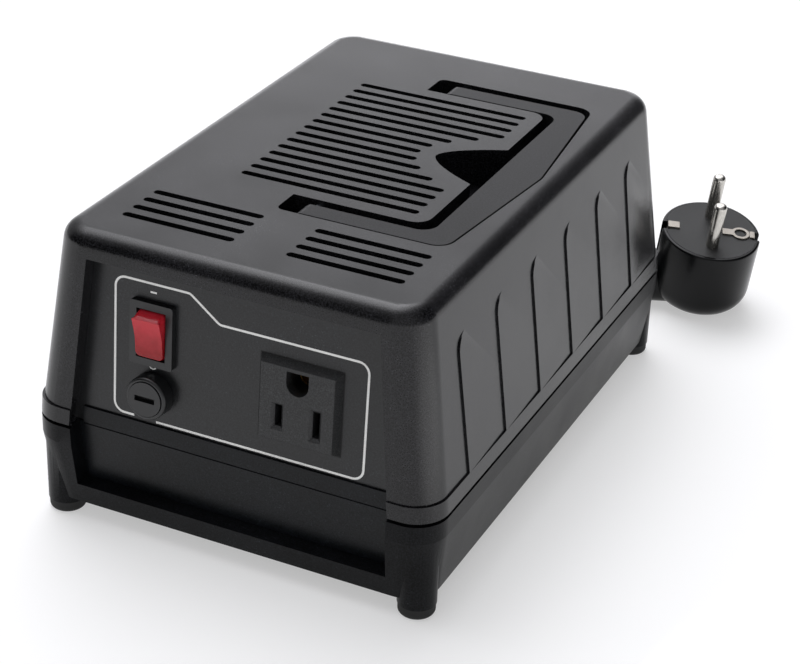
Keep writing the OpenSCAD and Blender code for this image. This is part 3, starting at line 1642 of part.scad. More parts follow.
module cord_to_plug() {
  start = coil_out + lead_straight * coil_out_dir;
  end = boot_end + lead_straight * boot_dir;
  color("#1b1c1d") tube(
    concat(
      [coil_out],
      [for (i = [0 : lead_steps]) lead_curve(start, coil_out_dir, end, -boot_dir, i / lead_steps)],
      [boot_end]
    ),
    cord_r, cord_sides
  );
}

// Plug

module on_plug() {
  translate(plug_pos) rotate([0, 0, plug_turn]) rotate([plug_lean, plug_roll, 0]) children();
}

module plug_body() {
  color("#1f2022") difference() {
    union() {
      on_plug() rotate_extrude()
        polygon(concat(
          [[0, 0]],
          [
            for (i = [0 : arc_steps])
              let (a = -90 + 90 * i / arc_steps)
              [plug_r - plug_back_r + plug_back_r * cos(a), plug_back_r + plug_back_r * sin(a)]
          ],
          [
            for (i = [0 : arc_steps])
              let (a = 90 * i / arc_steps)
              [plug_r - plug_rim_r + plug_rim_r * cos(a), plug_h - plug_rim_r + plug_rim_r * sin(a)]
          ],
          [[0, plug_h]]
        ));
      translate(boot_end)
        rotate([0, 90, plug_turn])
          rotate_extrude() polygon([
            [0, 0], [boot_end_r, 0], [boot_r, boot_taper],
            [boot_r, boot_reach - plug_r / 2], [0, boot_reach - plug_r / 2]
          ]);
    }
    on_plug() {
      for (end = [[0, clip_len], [180, clip_short]])
        rotate([0, 0, end[0]])
          translate([plug_r - clip_groove_deep, -clip_groove_w / 2, plug_h - end[1]])
            cube([2 * clip_groove_deep, clip_groove_w, end[1] + over]);
      translate([plug_earth_x, 0, plug_h - plug_earth_deep])
        cylinder(r = plug_earth_r, h = plug_earth_deep + over);
    }
  }
}

module plug_pins() {
  color("#c8c9ca") on_plug() for (side = both)
    translate([0, side * pin_step / 2, plug_h])
      rotate_extrude() polygon(concat(
        [[0, 0], [pin_r, 0]],
        [
          for (i = [0 : arc_steps])
            let (a = 90 * i / arc_steps)
            [pin_r - pin_tip + pin_tip * cos(a), pin_len - pin_tip + pin_tip * sin(a)]
        ],
        [[0, pin_len]]
      ));
}

// Clip bent from strip: up the bottom of a groove, then in over the rim of the face
module plug_earth_clips() {
  inset = plug_r - clip_groove_deep;
  color("#c0c1c2") on_plug()
    for (end = [[0, clip_len, inset - plug_earth_x - earth_plate_r], [180, clip_short, clip_fold]])
      rotate([0, 0, end[0]]) {
        translate([inset, -clip_w / 2, plug_h - end[1]]) cube([clip_t, clip_w, end[1]]);
        translate([inset - end[2], -clip_w / 2, plug_h])
          cube([end[2] + clip_t, clip_w, clip_t]);
      }
}

earth_plate_r = plug_earth_r + 1.2;

module plug_earth_socket() {
  color("#c0c1c2") on_plug() translate([0, 0, plug_h])
    linear_extrude(clip_t)
      difference() {
        union() {
          translate([plug_earth_x, 0]) circle(earth_plate_r);
          translate([plug_earth_x - 2 * earth_plate_r, -earth_plate_r / 2])
            square([2 * earth_plate_r, earth_plate_r]);
        }
        translate([plug_earth_x, 0]) circle(plug_earth_r);
      }
}

upper_cover();
lower_case();
front_panel();
lower_front_plate();
rear_panel();
lower_rear_plate();
foot_front_left();
foot_front_right();
foot_rear_left();
foot_rear_right();
case_screws();
carry_handle();
handle_pins();
switch_housing();
switch_rocker();
switch_terminals();
switch_lamp();
outlet_body();
hot_contact();
neutral_contact();
earth_contact();
fuse_holder();
fuse_nut();
fuse_terminals();
fuse_cap();
fuse_glass();
fuse_ends();
core_e_laminations();
core_i_laminations();
bobbin();
winding();
insulation_tape();
thermal_cutout();
core_bracket();
bracket_screws();
wire_live();
wire_fuse_to_switch();
wire_switch_to_winding();
wire_neutral();
wire_earth();
wire_outlet_hot();
wire_outlet_neutral();
cord_gland();
cord_from_gland();
cord_coil();
cord_tie();
cord_to_plug();
plug_body();
plug_pins();
plug_earth_clips();
plug_earth_socket();
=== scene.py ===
"""Finishes the CAD frame of a tabletop voltage converter.

Rounds its edges and adds materials, print, the mains lead and a lit stage.
"""

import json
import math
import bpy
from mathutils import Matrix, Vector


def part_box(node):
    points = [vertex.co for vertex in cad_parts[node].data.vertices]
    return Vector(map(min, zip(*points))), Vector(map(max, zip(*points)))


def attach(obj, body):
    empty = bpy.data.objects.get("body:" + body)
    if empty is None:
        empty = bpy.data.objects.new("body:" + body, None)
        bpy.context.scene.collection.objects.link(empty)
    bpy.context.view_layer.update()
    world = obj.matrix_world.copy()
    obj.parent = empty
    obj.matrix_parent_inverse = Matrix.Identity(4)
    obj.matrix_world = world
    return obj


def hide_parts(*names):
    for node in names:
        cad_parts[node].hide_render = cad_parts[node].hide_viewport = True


bl_info = {
    "name": "Voltage converter finish",
    "version": (1, 0, 0),
    "blender": (4, 5, 0),
    "location": "View3D > Sidebar > Converter",
    "description": "Finishes the CAD frame of a voltage converter and sets it on a lit stage",
    "category": "Object",
}

import bmesh
import bpy
from bpy.props import FloatProperty, FloatVectorProperty, IntProperty, PointerProperty
from mathutils import Matrix, Vector

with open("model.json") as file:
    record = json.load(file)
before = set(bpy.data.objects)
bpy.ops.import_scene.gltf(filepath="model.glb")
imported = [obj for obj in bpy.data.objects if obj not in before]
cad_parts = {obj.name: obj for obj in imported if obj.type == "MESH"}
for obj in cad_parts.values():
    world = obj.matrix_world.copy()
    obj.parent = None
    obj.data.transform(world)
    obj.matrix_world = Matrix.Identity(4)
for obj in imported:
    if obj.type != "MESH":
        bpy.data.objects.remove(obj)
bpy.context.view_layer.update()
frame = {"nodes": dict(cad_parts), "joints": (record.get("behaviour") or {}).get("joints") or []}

MM = 0.001
JOINTS = {joint["name"]: joint for joint in frame["joints"]}


def linear(code):
    """Linear RGBA of an sRGB hex colour."""
    values = [int(code[i : i + 2], 16) / 255 for i in (1, 3, 5)]
    return (*[v / 12.92 if v <= 0.04045 else ((v + 0.055) / 1.055) ** 2.4 for v in values], 1.0)


def axes(right, up, out, origin):
    """Matrix whose columns are three axes and an origin."""
    return Matrix.Translation(origin) @ Matrix((right, up, out)).transposed().to_4x4()


# The front panel. Its frame starts at the seam, in the middle of the case, and places on it are
# in millimetres across and up. The switch's pivot line lies in its face.

PANEL_OUT = Vector(JOINTS["fuse_slide"]["axis"])
PANEL_RIGHT = Vector((1, 0, 0))
PANEL_UP = PANEL_OUT.cross(PANEL_RIGHT)
SWITCH_AT = (-28.3, 36.6)
PIVOT_AT = Vector(JOINTS["switch_rock"]["pos_m"])
ON_PANEL = axes(
    PANEL_RIGHT,
    PANEL_UP,
    PANEL_OUT,
    PIVOT_AT - PANEL_RIGHT * SWITCH_AT[0] * MM - PANEL_UP * SWITCH_AT[1] * MM,
)
# Corner radii of the switch's bezel and rocker. Corners close to the pivot, and those that go
# deeper into the panel, such as the window's, stay square.
BEZEL_CORNER_R, ROCKER_CORNER_R = 0.9, 1.4
PIVOT_REACH, CORNER_DEPTH = 3.0, 4.6
OUTLET_AT, OUTLET_SIDE = (22.6, 26.3), 27.6
# Painted shadow round the outlet: how far beyond its side the dark strip's middle runs, and its
# width
SHADOW_STRIP_REACH, SHADOW_STRIP_WIDTH = 0.1, 0.6
# The printed frame line, open where the fuse holder stands, and the radius of each of its corners
PRINT_LINE = (
    (-34.9, 7.0), (-42, 7.0), (-42, 52.8), (-16, 52.8),
    (-5.6, 45.1), (44.3, 45.1), (44.3, 6.6), (-27.0, 6.6),
)
PRINT_RADII = (3.5, 3.5, 2.5, 2.5, 3.5, 3.5)
# The bar above the switch and the ring below it
BAR_ENDS, BAR_WIDTH = ((-29.7, 50.0), (-27.5, 50.0)), 0.6
RING_AT, RING_R, RING_WIDTH, RING_STEPS = (-28.5, 25.6), 1.15, 0.45, 24
# Underside and top of the ink above the panel
INK_LOW, INK_HIGH = 0.006, 0.045

# The plug, in millimetres: its body, the rounding of its back, its height and how it lies

PLUG_R, PLUG_BACK_R, PLUG_H = 18.8, 9.0, 31.0
PLUG_TURN, PLUG_ROLL, PLUG_LEAN = math.radians(21.6), math.radians(4.9), math.radians(10.6)
PLUG_TIP = math.acos(math.cos(PLUG_LEAN) * math.cos(PLUG_ROLL))
# It lies on the rim of its back and on its boot, which is level
PLUG_REST = PLUG_BACK_R * (1 - math.cos(PLUG_TIP)) + (PLUG_R - PLUG_BACK_R) * math.sin(PLUG_TIP)
ON_PLUG = (
    Matrix.Translation(Vector((71.1, 144.6, PLUG_REST)) * MM)
    @ Matrix.Rotation(PLUG_TURN, 4, "Z")
    @ Matrix.Rotation(PLUG_ROLL, 4, "Y")
    @ Matrix.Rotation(PLUG_LEAN, 4, "X")
)
# Its matte face: a disc, cut straight at the clips, a little above the body
FACE_R, FACE_CUT, FACE_CUT_HALF, FACE_STEPS = 17.4, 15.6, 2.4, 96
FACE_LOW, FACE_HIGH = 0.01, 0.08
BOOT_R, BOOT_REACH, BOOT_CLEAR = 9.2, 40.0, 0.02
BOOT_DIR = Vector((-math.cos(PLUG_TURN), -math.sin(PLUG_TURN), 0))
BOOT_RISE = (BOOT_R + BOOT_CLEAR - PLUG_REST) / math.cos(PLUG_TIP)
BOOT_ROOT = ON_PLUG @ (Vector((0, 0, BOOT_RISE)) * MM) / MM
BOOT_END = BOOT_ROOT + BOOT_REACH * BOOT_DIR
# Ribs on the boot: start of the row from the end, its length, first and last radius, thickness
BOOT_RIBS = (2, 10, 5.4, 8.0, 0.6)

# The mains lead's route, in millimetres, the same as in the CAD source

COIL_CENTRE = (-29, 165)
COIL_R, COIL_PITCH, COIL_Z = 45, 7.6, 4.8
COIL_TURN, COIL_END, COIL_STEPS = 360 * 2.25, 360 * 4.75, 228
# Straight run at each end of the coil
COIL_RUN = 7
GLAND_END, GLAND_TURN = Vector((16, 116.959, 19.775)), math.radians(6)
GLAND_DIR = Vector((0, math.cos(GLAND_TURN), -math.sin(GLAND_TURN)))
# Ribs on the gland's sleeve, in the same order as the boot's
GLAND_RIBS = (-16, 14, 5.15, 4.55, 0.5)
# Fall from the gland to the coil, in shares of the way back and of the way down
LEAD_FALL = ((0.27, 0.185), (0.44, 0.466), (0.61, 0.746), (0.805, 0.947))
LEAD_SAG, LEAD_STRAIGHT, LEAD_STEPS = 1.6, 3.5, 24

# Screws, in millimetres: head, thread and the (r, z) profile of the head with its socket

SCREW_HEAD_H, SCREW_HEAD_R = 2.2, 3.0
SCREW_PITCH, SCREW_R, SCREW_ROOT_R, SCREW_TIP_R = 0.8, 1.5, 1.32, 1.2
SCREW_HEAD = (
    (0, -1.3), (1.0, -1.3), (1.0, -1.9), (1.9, -2.15),
    (2.7, -1.7), (SCREW_HEAD_R, -1.0), (SCREW_HEAD_R, 0), (SCREW_R, 0),
)

# The stage: the camera's axes and place, the bright pool on the table, and the lights

SENSOR_MM = 36
CAMERA_RIGHT = Vector((0.901658, 0.431250, 0.032185))
CAMERA_UP = Vector((-0.231245, 0.417920, 0.878561))
CAMERA_AT = Vector((277.35, -583.27, 385.75)) * MM
POOL_AT, POOL_R, POOL_FADE_R = Vector((320, -110, 0)) * MM, 90 * MM, 190 * MM
# Two softboxes overhead, a pale wall behind and two dark sides: direction, sharpness, strength
LIGHTS = (
    ((-0.276, 0.561, 0.781), 30.0, 4.35),
    ((-0.305, 0.160, 0.940), 15.0, 4.90),
    ((-0.403, 0.913, 0.060), 23.6, 2.05),
    ((-0.738, -0.644, 0.200), 10.5, -1.16),
    ((0.736, 0.509, 0.446), 2.9, -0.55),
)


class CaseSettings(bpy.types.PropertyGroup):
    edge: FloatProperty(
        name="Edge radius",
        description="Rounding of the case's edges",
        default=0.35 * MM,
        unit="LENGTH",
    )
    handle_edge: FloatProperty(
        name="Handle edge radius",
        description="Rounding of the handle's edges",
        default=0.6 * MM,
        unit="LENGTH",
    )
    colour: FloatVectorProperty(
        name="Case colour",
        description="Colour of the moulded case",
        default=linear("#18181a"),
        size=4,
        subtype="COLOR",
    )
    panel_colour: FloatVectorProperty(
        name="Panel colour",
        description="Colour of the panels",
        default=linear("#101113"),
        size=4,
        subtype="COLOR",
    )
    print_colour: FloatVectorProperty(
        name="Print colour",
        description="Colour of the printed line",
        default=linear("#f4f4f1"),
        size=4,
        subtype="COLOR",
    )
    print_width: FloatProperty(
        name="Print width",
        description="Width of the printed line",
        default=0.74 * MM,
        unit="LENGTH",
    )


class FittingSettings(bpy.types.PropertyGroup):
    rocker_colour: FloatVectorProperty(
        name="Rocker colour",
        description="Colour of the switch's rocker",
        default=linear("#960b14"),
        size=4,
        subtype="COLOR",
    )
    edge: FloatProperty(
        name="Fitting edge radius",
        description="Rounding of the panel fittings' edges",
        default=0.3 * MM,
        unit="LENGTH",
    )


class LeadSettings(bpy.types.PropertyGroup):
    diameter: FloatProperty(
        name="Lead diameter",
        description="Diameter of the mains lead",
        default=7 * MM,
        unit="LENGTH",
    )
    boot_ribs: IntProperty(
        name="Boot ribs", description="Ribs on the plug's boot", default=7, min=2, max=12
    )
    gland_ribs: IntProperty(
        name="Gland ribs", description="Ribs on the gland's sleeve", default=6, min=2, max=12
    )


class StageSettings(bpy.types.PropertyGroup):
    lens: FloatProperty(
        name="Lens", description="Focal length on a 36 mm sensor", default=96.77, unit="CAMERA"
    )
    floor: FloatProperty(
        name="Floor size", description="Side of the floor", default=6.0, unit="LENGTH"
    )
    floor_glow: FloatProperty(
        name="Floor glow", description="Light of the table under the object", default=0.45
    )
    pool_glow: FloatProperty(
        name="Pool glow",
        description="Extra light of the table beside the right corner",
        default=1.3,
    )
    ambient: FloatProperty(
        name="Ambient light", description="Even light from all round", default=0.464
    )


class ConverterSettings(bpy.types.PropertyGroup):
    case: PointerProperty(type=CaseSettings)
    fittings: PointerProperty(type=FittingSettings)
    lead: PointerProperty(type=LeadSettings)
    stage: PointerProperty(type=StageSettings)


# Materials


def add(tree, kind, inputs=None, **settings):
    """One node with its settings; an input is a value or another node's output."""
    node = tree.nodes.new(kind)
    for key, value in settings.items():
        setattr(node, key, value)
    for key, value in (inputs or {}).items():
        if isinstance(value, bpy.types.NodeSocket):
            tree.links.new(value, node.inputs[key])
        else:
            node.inputs[key].default_value = value
    return node


def surface(name, **values):
    """Material with one principled shader, its uniform values on the shader's own sockets."""
    finish = bpy.data.materials.new(name)
    finish.use_nodes = True
    shader = finish.node_tree.nodes["Principled BSDF"]
    for key, value in values.items():
        shader.inputs[key.replace("_", " ")].default_value = value
    return finish, finish.node_tree, shader


def ramp(tree, factor, low, high, start=0.3, end=0.7, peak=None):
    """Colour ramp from low to high over a factor, with another colour at its rare peaks, used for
    painted glints.
    """
    node = add(tree, "ShaderNodeValToRGB", {"Fac": factor})
    first, last = node.color_ramp.elements
    first.position, first.color = start, low
    last.position, last.color = end, high
    if peak is not None:
        node.color_ramp.elements.new(end + 0.04).color = high
        node.color_ramp.elements.new(end + 0.12).color = peak
    return node.outputs["Color"]


def shade(colour, factor):
    """Linear colour made darker or lighter."""
    return (*[min(1.0, c * factor) for c in colour[:3]], 1.0)


def spread(tree, factor, low, high):
    """Value from low to high over the middle of a noise."""
    inputs = {"Value": factor, "From Min": 0.3, "From Max": 0.7, "To Min": low, "To Max": high}
    return add(tree, "ShaderNodeMapRange", inputs).outputs["Result"]


def grained(name, colour, rough, grain_mm, depth_mm, variation=0.12, painted_glint=None, **values):
    """Plastic or rubber with an even moulded grain and faint unevenness; painted glints, where
    asked, light up the grain's rare peaks.
    """
    finish, tree, shader = surface(name, **values)
    cloud_mm, grain_share, sheen_swing = 26, 0.75, 0.04
    place = add(tree, "ShaderNodeTexCoord").outputs["Object"]
    grain = add(
        tree,
        "ShaderNodeTexNoise",
        {"Vector": place, "Scale": 1 / (grain_mm * MM), "Detail": 2.0, "Roughness": 0.6},
    ).outputs["Fac"]
    cloud = add(
        tree, "ShaderNodeTexNoise", {"Vector": place, "Scale": 1 / (cloud_mm * MM), "Detail": 3.0}
    ).outputs["Fac"]
    soft = add(tree, "ShaderNodeMath", {0: cloud, 1: 1 - grain_share}, operation="MULTIPLY")
    mixed = add(
        tree,
        "ShaderNodeMath",
        {0: grain, 1: grain_share, 2: soft.outputs[0]},
        operation="MULTIPLY_ADD",
    ).outputs[0]
    dark, pale = shade(colour, 1 - variation), shade(colour, 1 + variation)
    # Painted glints: where asked, the grain's rare peaks take a brighter copy of the colour
    tone = ramp(tree, mixed, dark, pale, 0.4, 0.6, shade(colour, painted_glint) if painted_glint else None)
    sheen = spread(tree, cloud, rough - sheen_swing, rough + sheen_swing)
    bump = add(
        tree, "ShaderNodeBump", {"Height": grain, "Strength": 1.0, "Distance": depth_mm * MM}
    )
    tree.links.new(tone, shader.inputs["Base Color"])
    tree.links.new(sheen, shader.inputs["Roughness"])
    tree.links.new(bump.outputs["Normal"], shader.inputs["Normal"])
    return finish


def brushed(name, colour, rough, line_mm, along):
    """Metal whose fine lines run along one axis, from rolling, stacking or winding."""
    finish, tree, shader = surface(name, Metallic=1.0)
    line_length_mm, line_depth_mm = 60, 0.02
    place = add(tree, "ShaderNodeTexCoord").outputs["Object"]
    stretch = [1 / (line_mm * MM)] * 3
    stretch[along] = 1 / (line_length_mm * MM)
    mapped = add(tree, "ShaderNodeMapping", {"Vector": place, "Scale": stretch})
    lines = add(
        tree,
        "ShaderNodeTexNoise",
        {"Vector": mapped.outputs["Vector"], "Scale": 1.0, "Detail": 2.0},
    ).outputs["Fac"]
    tone = ramp(tree, lines, shade(colour, 0.82), shade(colour, 1.1))
    sheen = spread(tree, lines, rough, rough + 0.12)
    bump = add(
        tree, "ShaderNodeBump", {"Height": lines, "Strength": 0.4, "Distance": line_depth_mm * MM}
    )
    tree.links.new(tone, shader.inputs["Base Color"])
    tree.links.new(sheen, shader.inputs["Roughness"])
    tree.links.new(bump.outputs["Normal"], shader.inputs["Normal"])
    return finish


def striped(name, colours, pitch_mm, axis, rough, depth_mm, **values):
    """Surface with even ridges across one axis, such as sheet edges or turns of wire."""
    finish, tree, shader = surface(name, Roughness=rough, **values)
    place = add(tree, "ShaderNodeTexCoord").outputs["Object"]
    # A band of the wave texture repeats every 2 pi / 20 at scale 1
    wave = add(
        tree,
        "ShaderNodeTexWave",
        {"Vector": place, "Scale": 2 * math.pi / (20 * pitch_mm * MM), "Distortion": 0.0},
        wave_type="BANDS",
        bands_direction=axis,
    ).outputs["Fac"]
    tone = ramp(tree, wave, linear(colours[0]), linear(colours[1]), 0.1, 0.8)
    bump = add(
        tree, "ShaderNodeBump", {"Height": wave, "Strength": 1.0, "Distance": depth_mm * MM}
    )
    tree.links.new(tone, shader.inputs["Base Color"])
    tree.links.new(bump.outputs["Normal"], shader.inputs["Normal"])
    return finish


def dyed_with_painted_light(name, deep, pale, low, high):
    """Clear dyed plastic with a glossy skin, painted pale at its top and deep below as painted
    light and shade.
    """
    finish, tree, shader = surface(
        name,
        Roughness=0.22,
        IOR=1.5,
        Specular_IOR_Level=0.25,
        Coat_Weight=0.15,
        Coat_Roughness=0.08,
        Subsurface_Weight=0.35,
        Subsurface_Radius=(1.0, 0.08, 0.06),
        Subsurface_Scale=1.2 * MM,
    )
    cloud_mm, cloud_share = 2, 0.5
    place = add(tree, "ShaderNodeTexCoord").outputs["Object"]
    # Painted light and shade: from deep at the bottom of the box to pale at its top, with a faint
    # cloud
    up = add(tree, "ShaderNodeSeparateXYZ", {0: place}).outputs["Z"]
    share = add(
        tree, "ShaderNodeMapRange", {"Value": up, "From Min": low.z, "From Max": high.z}
    ).outputs["Result"]
    cloud = add(
        tree, "ShaderNodeTexNoise", {"Vector": place, "Scale": 1 / (cloud_mm * MM), "Detail": 2.0}
    ).outputs["Fac"]
    cloud_and_painted_light = add(
        tree, "ShaderNodeMath", {0: cloud, 1: cloud_share, 2: share}, operation="MULTIPLY_ADD"
    ).outputs[0]
    tree.links.new(ramp(tree, cloud_and_painted_light, deep, pale, 0.4, 1.25), shader.inputs["Base Color"])
    return finish


def clear(name, rough, streak_mm):
    """Drawn glass with faint streaks."""
    finish, tree, shader = surface(
        name, Roughness=rough, IOR=1.5, Transmission_Weight=0.9, Alpha=0.45
    )
    place = add(tree, "ShaderNodeTexCoord").outputs["Object"]
    streaks = add(tree, "ShaderNodeTexNoise", {"Vector": place, "Scale": 1 / (streak_mm * MM)})
    tone = ramp(tree, streaks.outputs["Fac"], linear("#d8e6ea"), linear("#f2f8f8"))
    tree.links.new(tone, shader.inputs["Base Color"])
    return finish


FINISHES = {}


def make_finishes(settings):
    """All materials, by name."""
    case, fittings = settings.case, settings.fittings
    # ABS moulded against a spark-eroded tool: satin, with a fine even grain that softens every
    # highlight, and painted glints, rare bright specks painted into its colour at the grain's
    # peaks.
    # The real grain is about 0.15 mm; it is drawn at 0.5 mm so that it still shows in the render.
    # The handle's and the tray's tools are rougher, so they give back less light, and the panels
    # are darker. The tray and the lower plates are also painted darker and less shiny than the
    # cover, as painted shade for the shaded table that they reflect down by the floor.
    for key, name, colour, rough, ior, shine in (
        ("abs", "moulded_black_abs", case.colour, 0.22, 1.5, 0.35),
        ("handle", "moulded_handle_abs", case.colour, 0.36, 1.5, 0.12),
        # Painted shade: the tray is a darker, less shiny copy of the cover's ABS
        ("tray", "moulded_tray_abs_painted_shade", linear("#0f1012"), 0.32, 1.5, 0.12),
        ("panel", "moulded_panel_abs", case.panel_colour, 0.32, 1.48, 0.5),
        # Painted shade: the lower plates are darker and less shiny than the panels
        ("plate", "moulded_plate_abs_painted_shade", linear("#0d0f12"), 0.32, 1.48, 0.23),
    ):
        FINISHES[key] = grained(
            name, colour, rough, 0.5, 0.03, variation=0.8, painted_glint=8,
            IOR=ior, Specular_IOR_Level=shine,
        )
    # Nylon fittings come from a polished tool, so they shine a little more and show less grain;
    # the outlet's is left rough
    FINISHES["nylon"] = grained("black_nylon", linear("#161718"), 0.36, 0.5, 0.012, IOR=1.53)
    # The outlet's rough nylon has painted glints too
    FINISHES["outlet"] = grained(
        "outlet_black_nylon", linear("#222324"), 0.5, 0.45, 0.04, variation=0.7, painted_glint=6, IOR=1.5
    )
    # Moulded rubber: dull and even
    FINISHES["rubber"] = grained(
        "moulded_foot_rubber", linear("#141414"), 0.72, 0.5, 0.02, IOR=1.52
    )
    # PVC of the lead and the plug: soft gloss with a slight waviness from the mould; the plug's
    # face is left matte. The plug's body is painted darker and less shiny than the lead, as painted
    # shade for the shaded table that it lies on and reflects.
    FINISHES["pvc"] = grained(
        "black_pvc", linear("#0c0c0d"), 0.2, 3.0, 0.02, IOR=1.5, Specular_IOR_Level=0.32
    )
    # Painted shade: the plug's body is a darker, less shiny copy of the lead's PVC
    FINISHES["plug"] = grained(
        "black_pvc_painted_shade", linear("#090a0b"), 0.2, 3.0, 0.02, IOR=1.5, Specular_IOR_Level=0.2
    )
    FINISHES["plug_face"] = grained("matte_black_pvc", linear("#1c1d1d"), 0.6, 0.4, 0.03, IOR=1.53)
    # Screen-printed ink: flat and slightly chalky
    FINISHES["ink"] = grained(
        "white_screen_ink", case.print_colour, 0.55, 0.3, 0.004, variation=0.04
    )
    # Polycarbonate of the lit rocker: light scatters a little under its skin, and its colour is
    # painted paler at the top and deeper below, as painted light and shade
    rocker_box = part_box("switch_rocker")
    FINISHES["rocker"] = dyed_with_painted_light(
        "red_polycarbonate_painted_light", fittings.rocker_colour, linear("#c22633"), *rocker_box
    )
    # Plated and rolled metals: fine lines; the earth strips are thinner plated and have dulled
    FINISHES["nickel"] = brushed("nickel_plate", linear("#c9c6c0"), 0.16, 0.3, 2)
    FINISHES["dull_nickel"] = brushed("dulled_nickel_plate", linear("#98938c"), 0.36, 0.3, 2)
    FINISHES["zinc"] = brushed("zinc_plated_steel", linear("#a9adb2"), 0.3, 0.3, 0)
    FINISHES["brass"] = brushed("rolled_brass", linear("#a98544"), 0.32, 0.25, 1)
    # Stacked silicon steel: half-millimetre sheets, drawn at 1 mm, under thin varnish
    FINISHES["laminations"] = striped(
        "silicon_steel_stack", ("#3c3d40", "#77797d"), 1.0, "Y", 0.45, 0.08, Metallic=0.9
    )
    # Enamelled copper wire: even turns under a warm gloss
    FINISHES["copper"] = striped(
        "enamelled_copper_turns", ("#5a2410", "#c06a35"), 0.9, "Z", 0.3, 0.2, Metallic=0.85
    )
    # Smooth tape, plain moulded nylon and phenolic, and a strap whose weave shows as ridges
    FINISHES["tape"] = grained("yellow_polyester_tape", linear("#cdb12e"), 0.25, 2.0, 0.01)
    FINISHES["bobbin"] = grained("natural_nylon", linear("#d9d2bb"), 0.5, 0.6, 0.01)
    FINISHES["phenolic"] = grained("black_phenolic", linear("#1c1b1a"), 0.4, 0.5, 0.01)
    FINISHES["strap"] = striped("woven_nylon_strap", ("#101011", "#2c2c2e"), 0.8, "Z", 0.8, 0.1)
    # Extruded PVC on the wires: even colour and a soft gloss
    for name, code in (
        ("brown", "#6b3d1c"),
        ("black", "#161617"),
        ("blue", "#24509a"),
        ("green", "#6f9e34"),
        ("white", "#dedcd2"),
    ):
        FINISHES["wire_" + name] = grained(f"{name}_wire_pvc", linear(code), 0.35, 1.5, 0.01)
    # Drawn glass: clear, with a sharp gloss
    FINISHES["glass"] = clear("fuse_glass_tube", 0.04, 4)


# Shapes


def link(name, data):
    """New object in the scene."""
    thing = bpy.data.objects.new(name, data)
    bpy.context.scene.collection.objects.link(thing)
    return thing


def made(name, shape):
    """New object from a shape, which is freed."""
    mesh = bpy.data.meshes.new(name)
    shape.to_mesh(mesh)
    shape.free()
    return link(name, mesh)


def finished(thing, finish, body, slot, *nodes):
    """Gives a piece its material and its body, and hides the CAD nodes that it stands for."""
    if finish is not None:
        thing.data.materials.clear()
        thing.data.materials.append(FINISHES[finish])
    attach(thing, body)
    if nodes:
        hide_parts(*nodes)
    return thing


def applied(thing, modifier):
    """Turns a modifier's result into the object's plain mesh and removes the modifier."""
    bpy.context.view_layer.update()
    result = thing.evaluated_get(bpy.context.evaluated_depsgraph_get())
    mesh = bpy.data.meshes.new_from_object(result)
    thing.modifiers.remove(modifier)
    thing.data = mesh
    return thing


def shade_smooth(shape, angle):
    """Smooth faces, with every edge sharper than the angle kept sharp."""
    for face in shape.faces:
        face.smooth = True
    for edge in shape.edges:
        edge.smooth = len(edge.link_faces) == 2 and edge.calc_face_angle(0) < math.radians(angle)


def evened(thing):
    """Turns normals towards the larger faces, so that flat faces shade flat up to their edges."""
    modifier = thing.modifiers.new("even_normals", "WEIGHTED_NORMAL")
    modifier.keep_sharp = True
    modifier.weight = 80
    return applied(thing, modifier)


def sharp_edges(shape, angle):
    """Edges between two faces that meet at more than the angle."""
    limit = math.radians(angle)
    return [e for e in shape.edges if len(e.link_faces) == 2 and e.calc_face_angle(0) > limit]


def switch_corner(edge):
    """Whether an edge is an outer corner of the switch that runs inwards, away from the pivot."""
    start, end = (ON_PANEL.inverted() @ v.co for v in edge.verts)
    inward = abs((end - start).normalized().z) > 0.8 and min(start.z, end.z) > -CORNER_DEPTH * MM
    return inward and abs(start.y - SWITCH_AT[1] * MM) > PIVOT_REACH * MM


def bevelled(shape, edges, radius, segments, clamp):
    """Rounds edges of a shape."""
    bmesh.ops.bevel(
        shape,
        geom=edges,
        offset=radius,
        segments=segments,
        profile=0.5,
        affect="EDGES",
        clamp_overlap=clamp,
        harden_normals=False,
    )


def dress(name, node, finish, body, slot, edge, segments=2, angle=32, corner=0):
    """Finished copy of a CAD node: welded, its flat faces joined and its sharp edges rounded.

    A corner radius also rounds the outer corners of the switch, before the edges.
    """
    weld, flat = 0.002 * MM, math.radians(0.4)
    mesh = frame["nodes"][node].data.copy()
    mesh.name = name
    mesh.materials.clear()
    shape = bmesh.new()
    shape.from_mesh(mesh)
    bmesh.ops.remove_doubles(shape, verts=shape.verts, dist=weld)
    bmesh.ops.dissolve_degenerate(shape, dist=weld, edges=shape.edges)
    bmesh.ops.dissolve_limit(shape, angle_limit=flat, verts=shape.verts, edges=shape.edges)
    if corner > 0:
        corners = [e for e in sharp_edges(shape, 60) if switch_corner(e)]
        bevelled(shape, corners, corner, segments=5, clamp=False)
    if edge > 0:
        bevelled(shape, sharp_edges(shape, angle), edge, segments, clamp=True)
    shade_smooth(shape, angle)
    shape.to_mesh(mesh)
    shape.free()
    return finished(evened(link(name, mesh)), finish, body, slot, node)


def rounded_path(points, radii, steps=6):
    """Open path with its inner corners rounded, each by its own radius."""
    path = [Vector(points[0])]
    for before, corner, after, radius in zip(points, points[1:], points[2:], radii):
        b = Vector(corner)
        u, v = (Vector(before) - b).normalized(), (Vector(after) - b).normalized()
        half = math.acos(max(-1.0, min(1.0, u.dot(v)))) / 2
        centre = b + (u + v).normalized() * radius / math.sin(half)
        start = b + u * radius / math.tan(half) - centre
        stop = b + v * radius / math.tan(half) - centre
        for i in range(steps + 1):
            path.append(centre + radius * start.slerp(stop, i / steps))
    path.append(Vector(points[-1]))
    return path


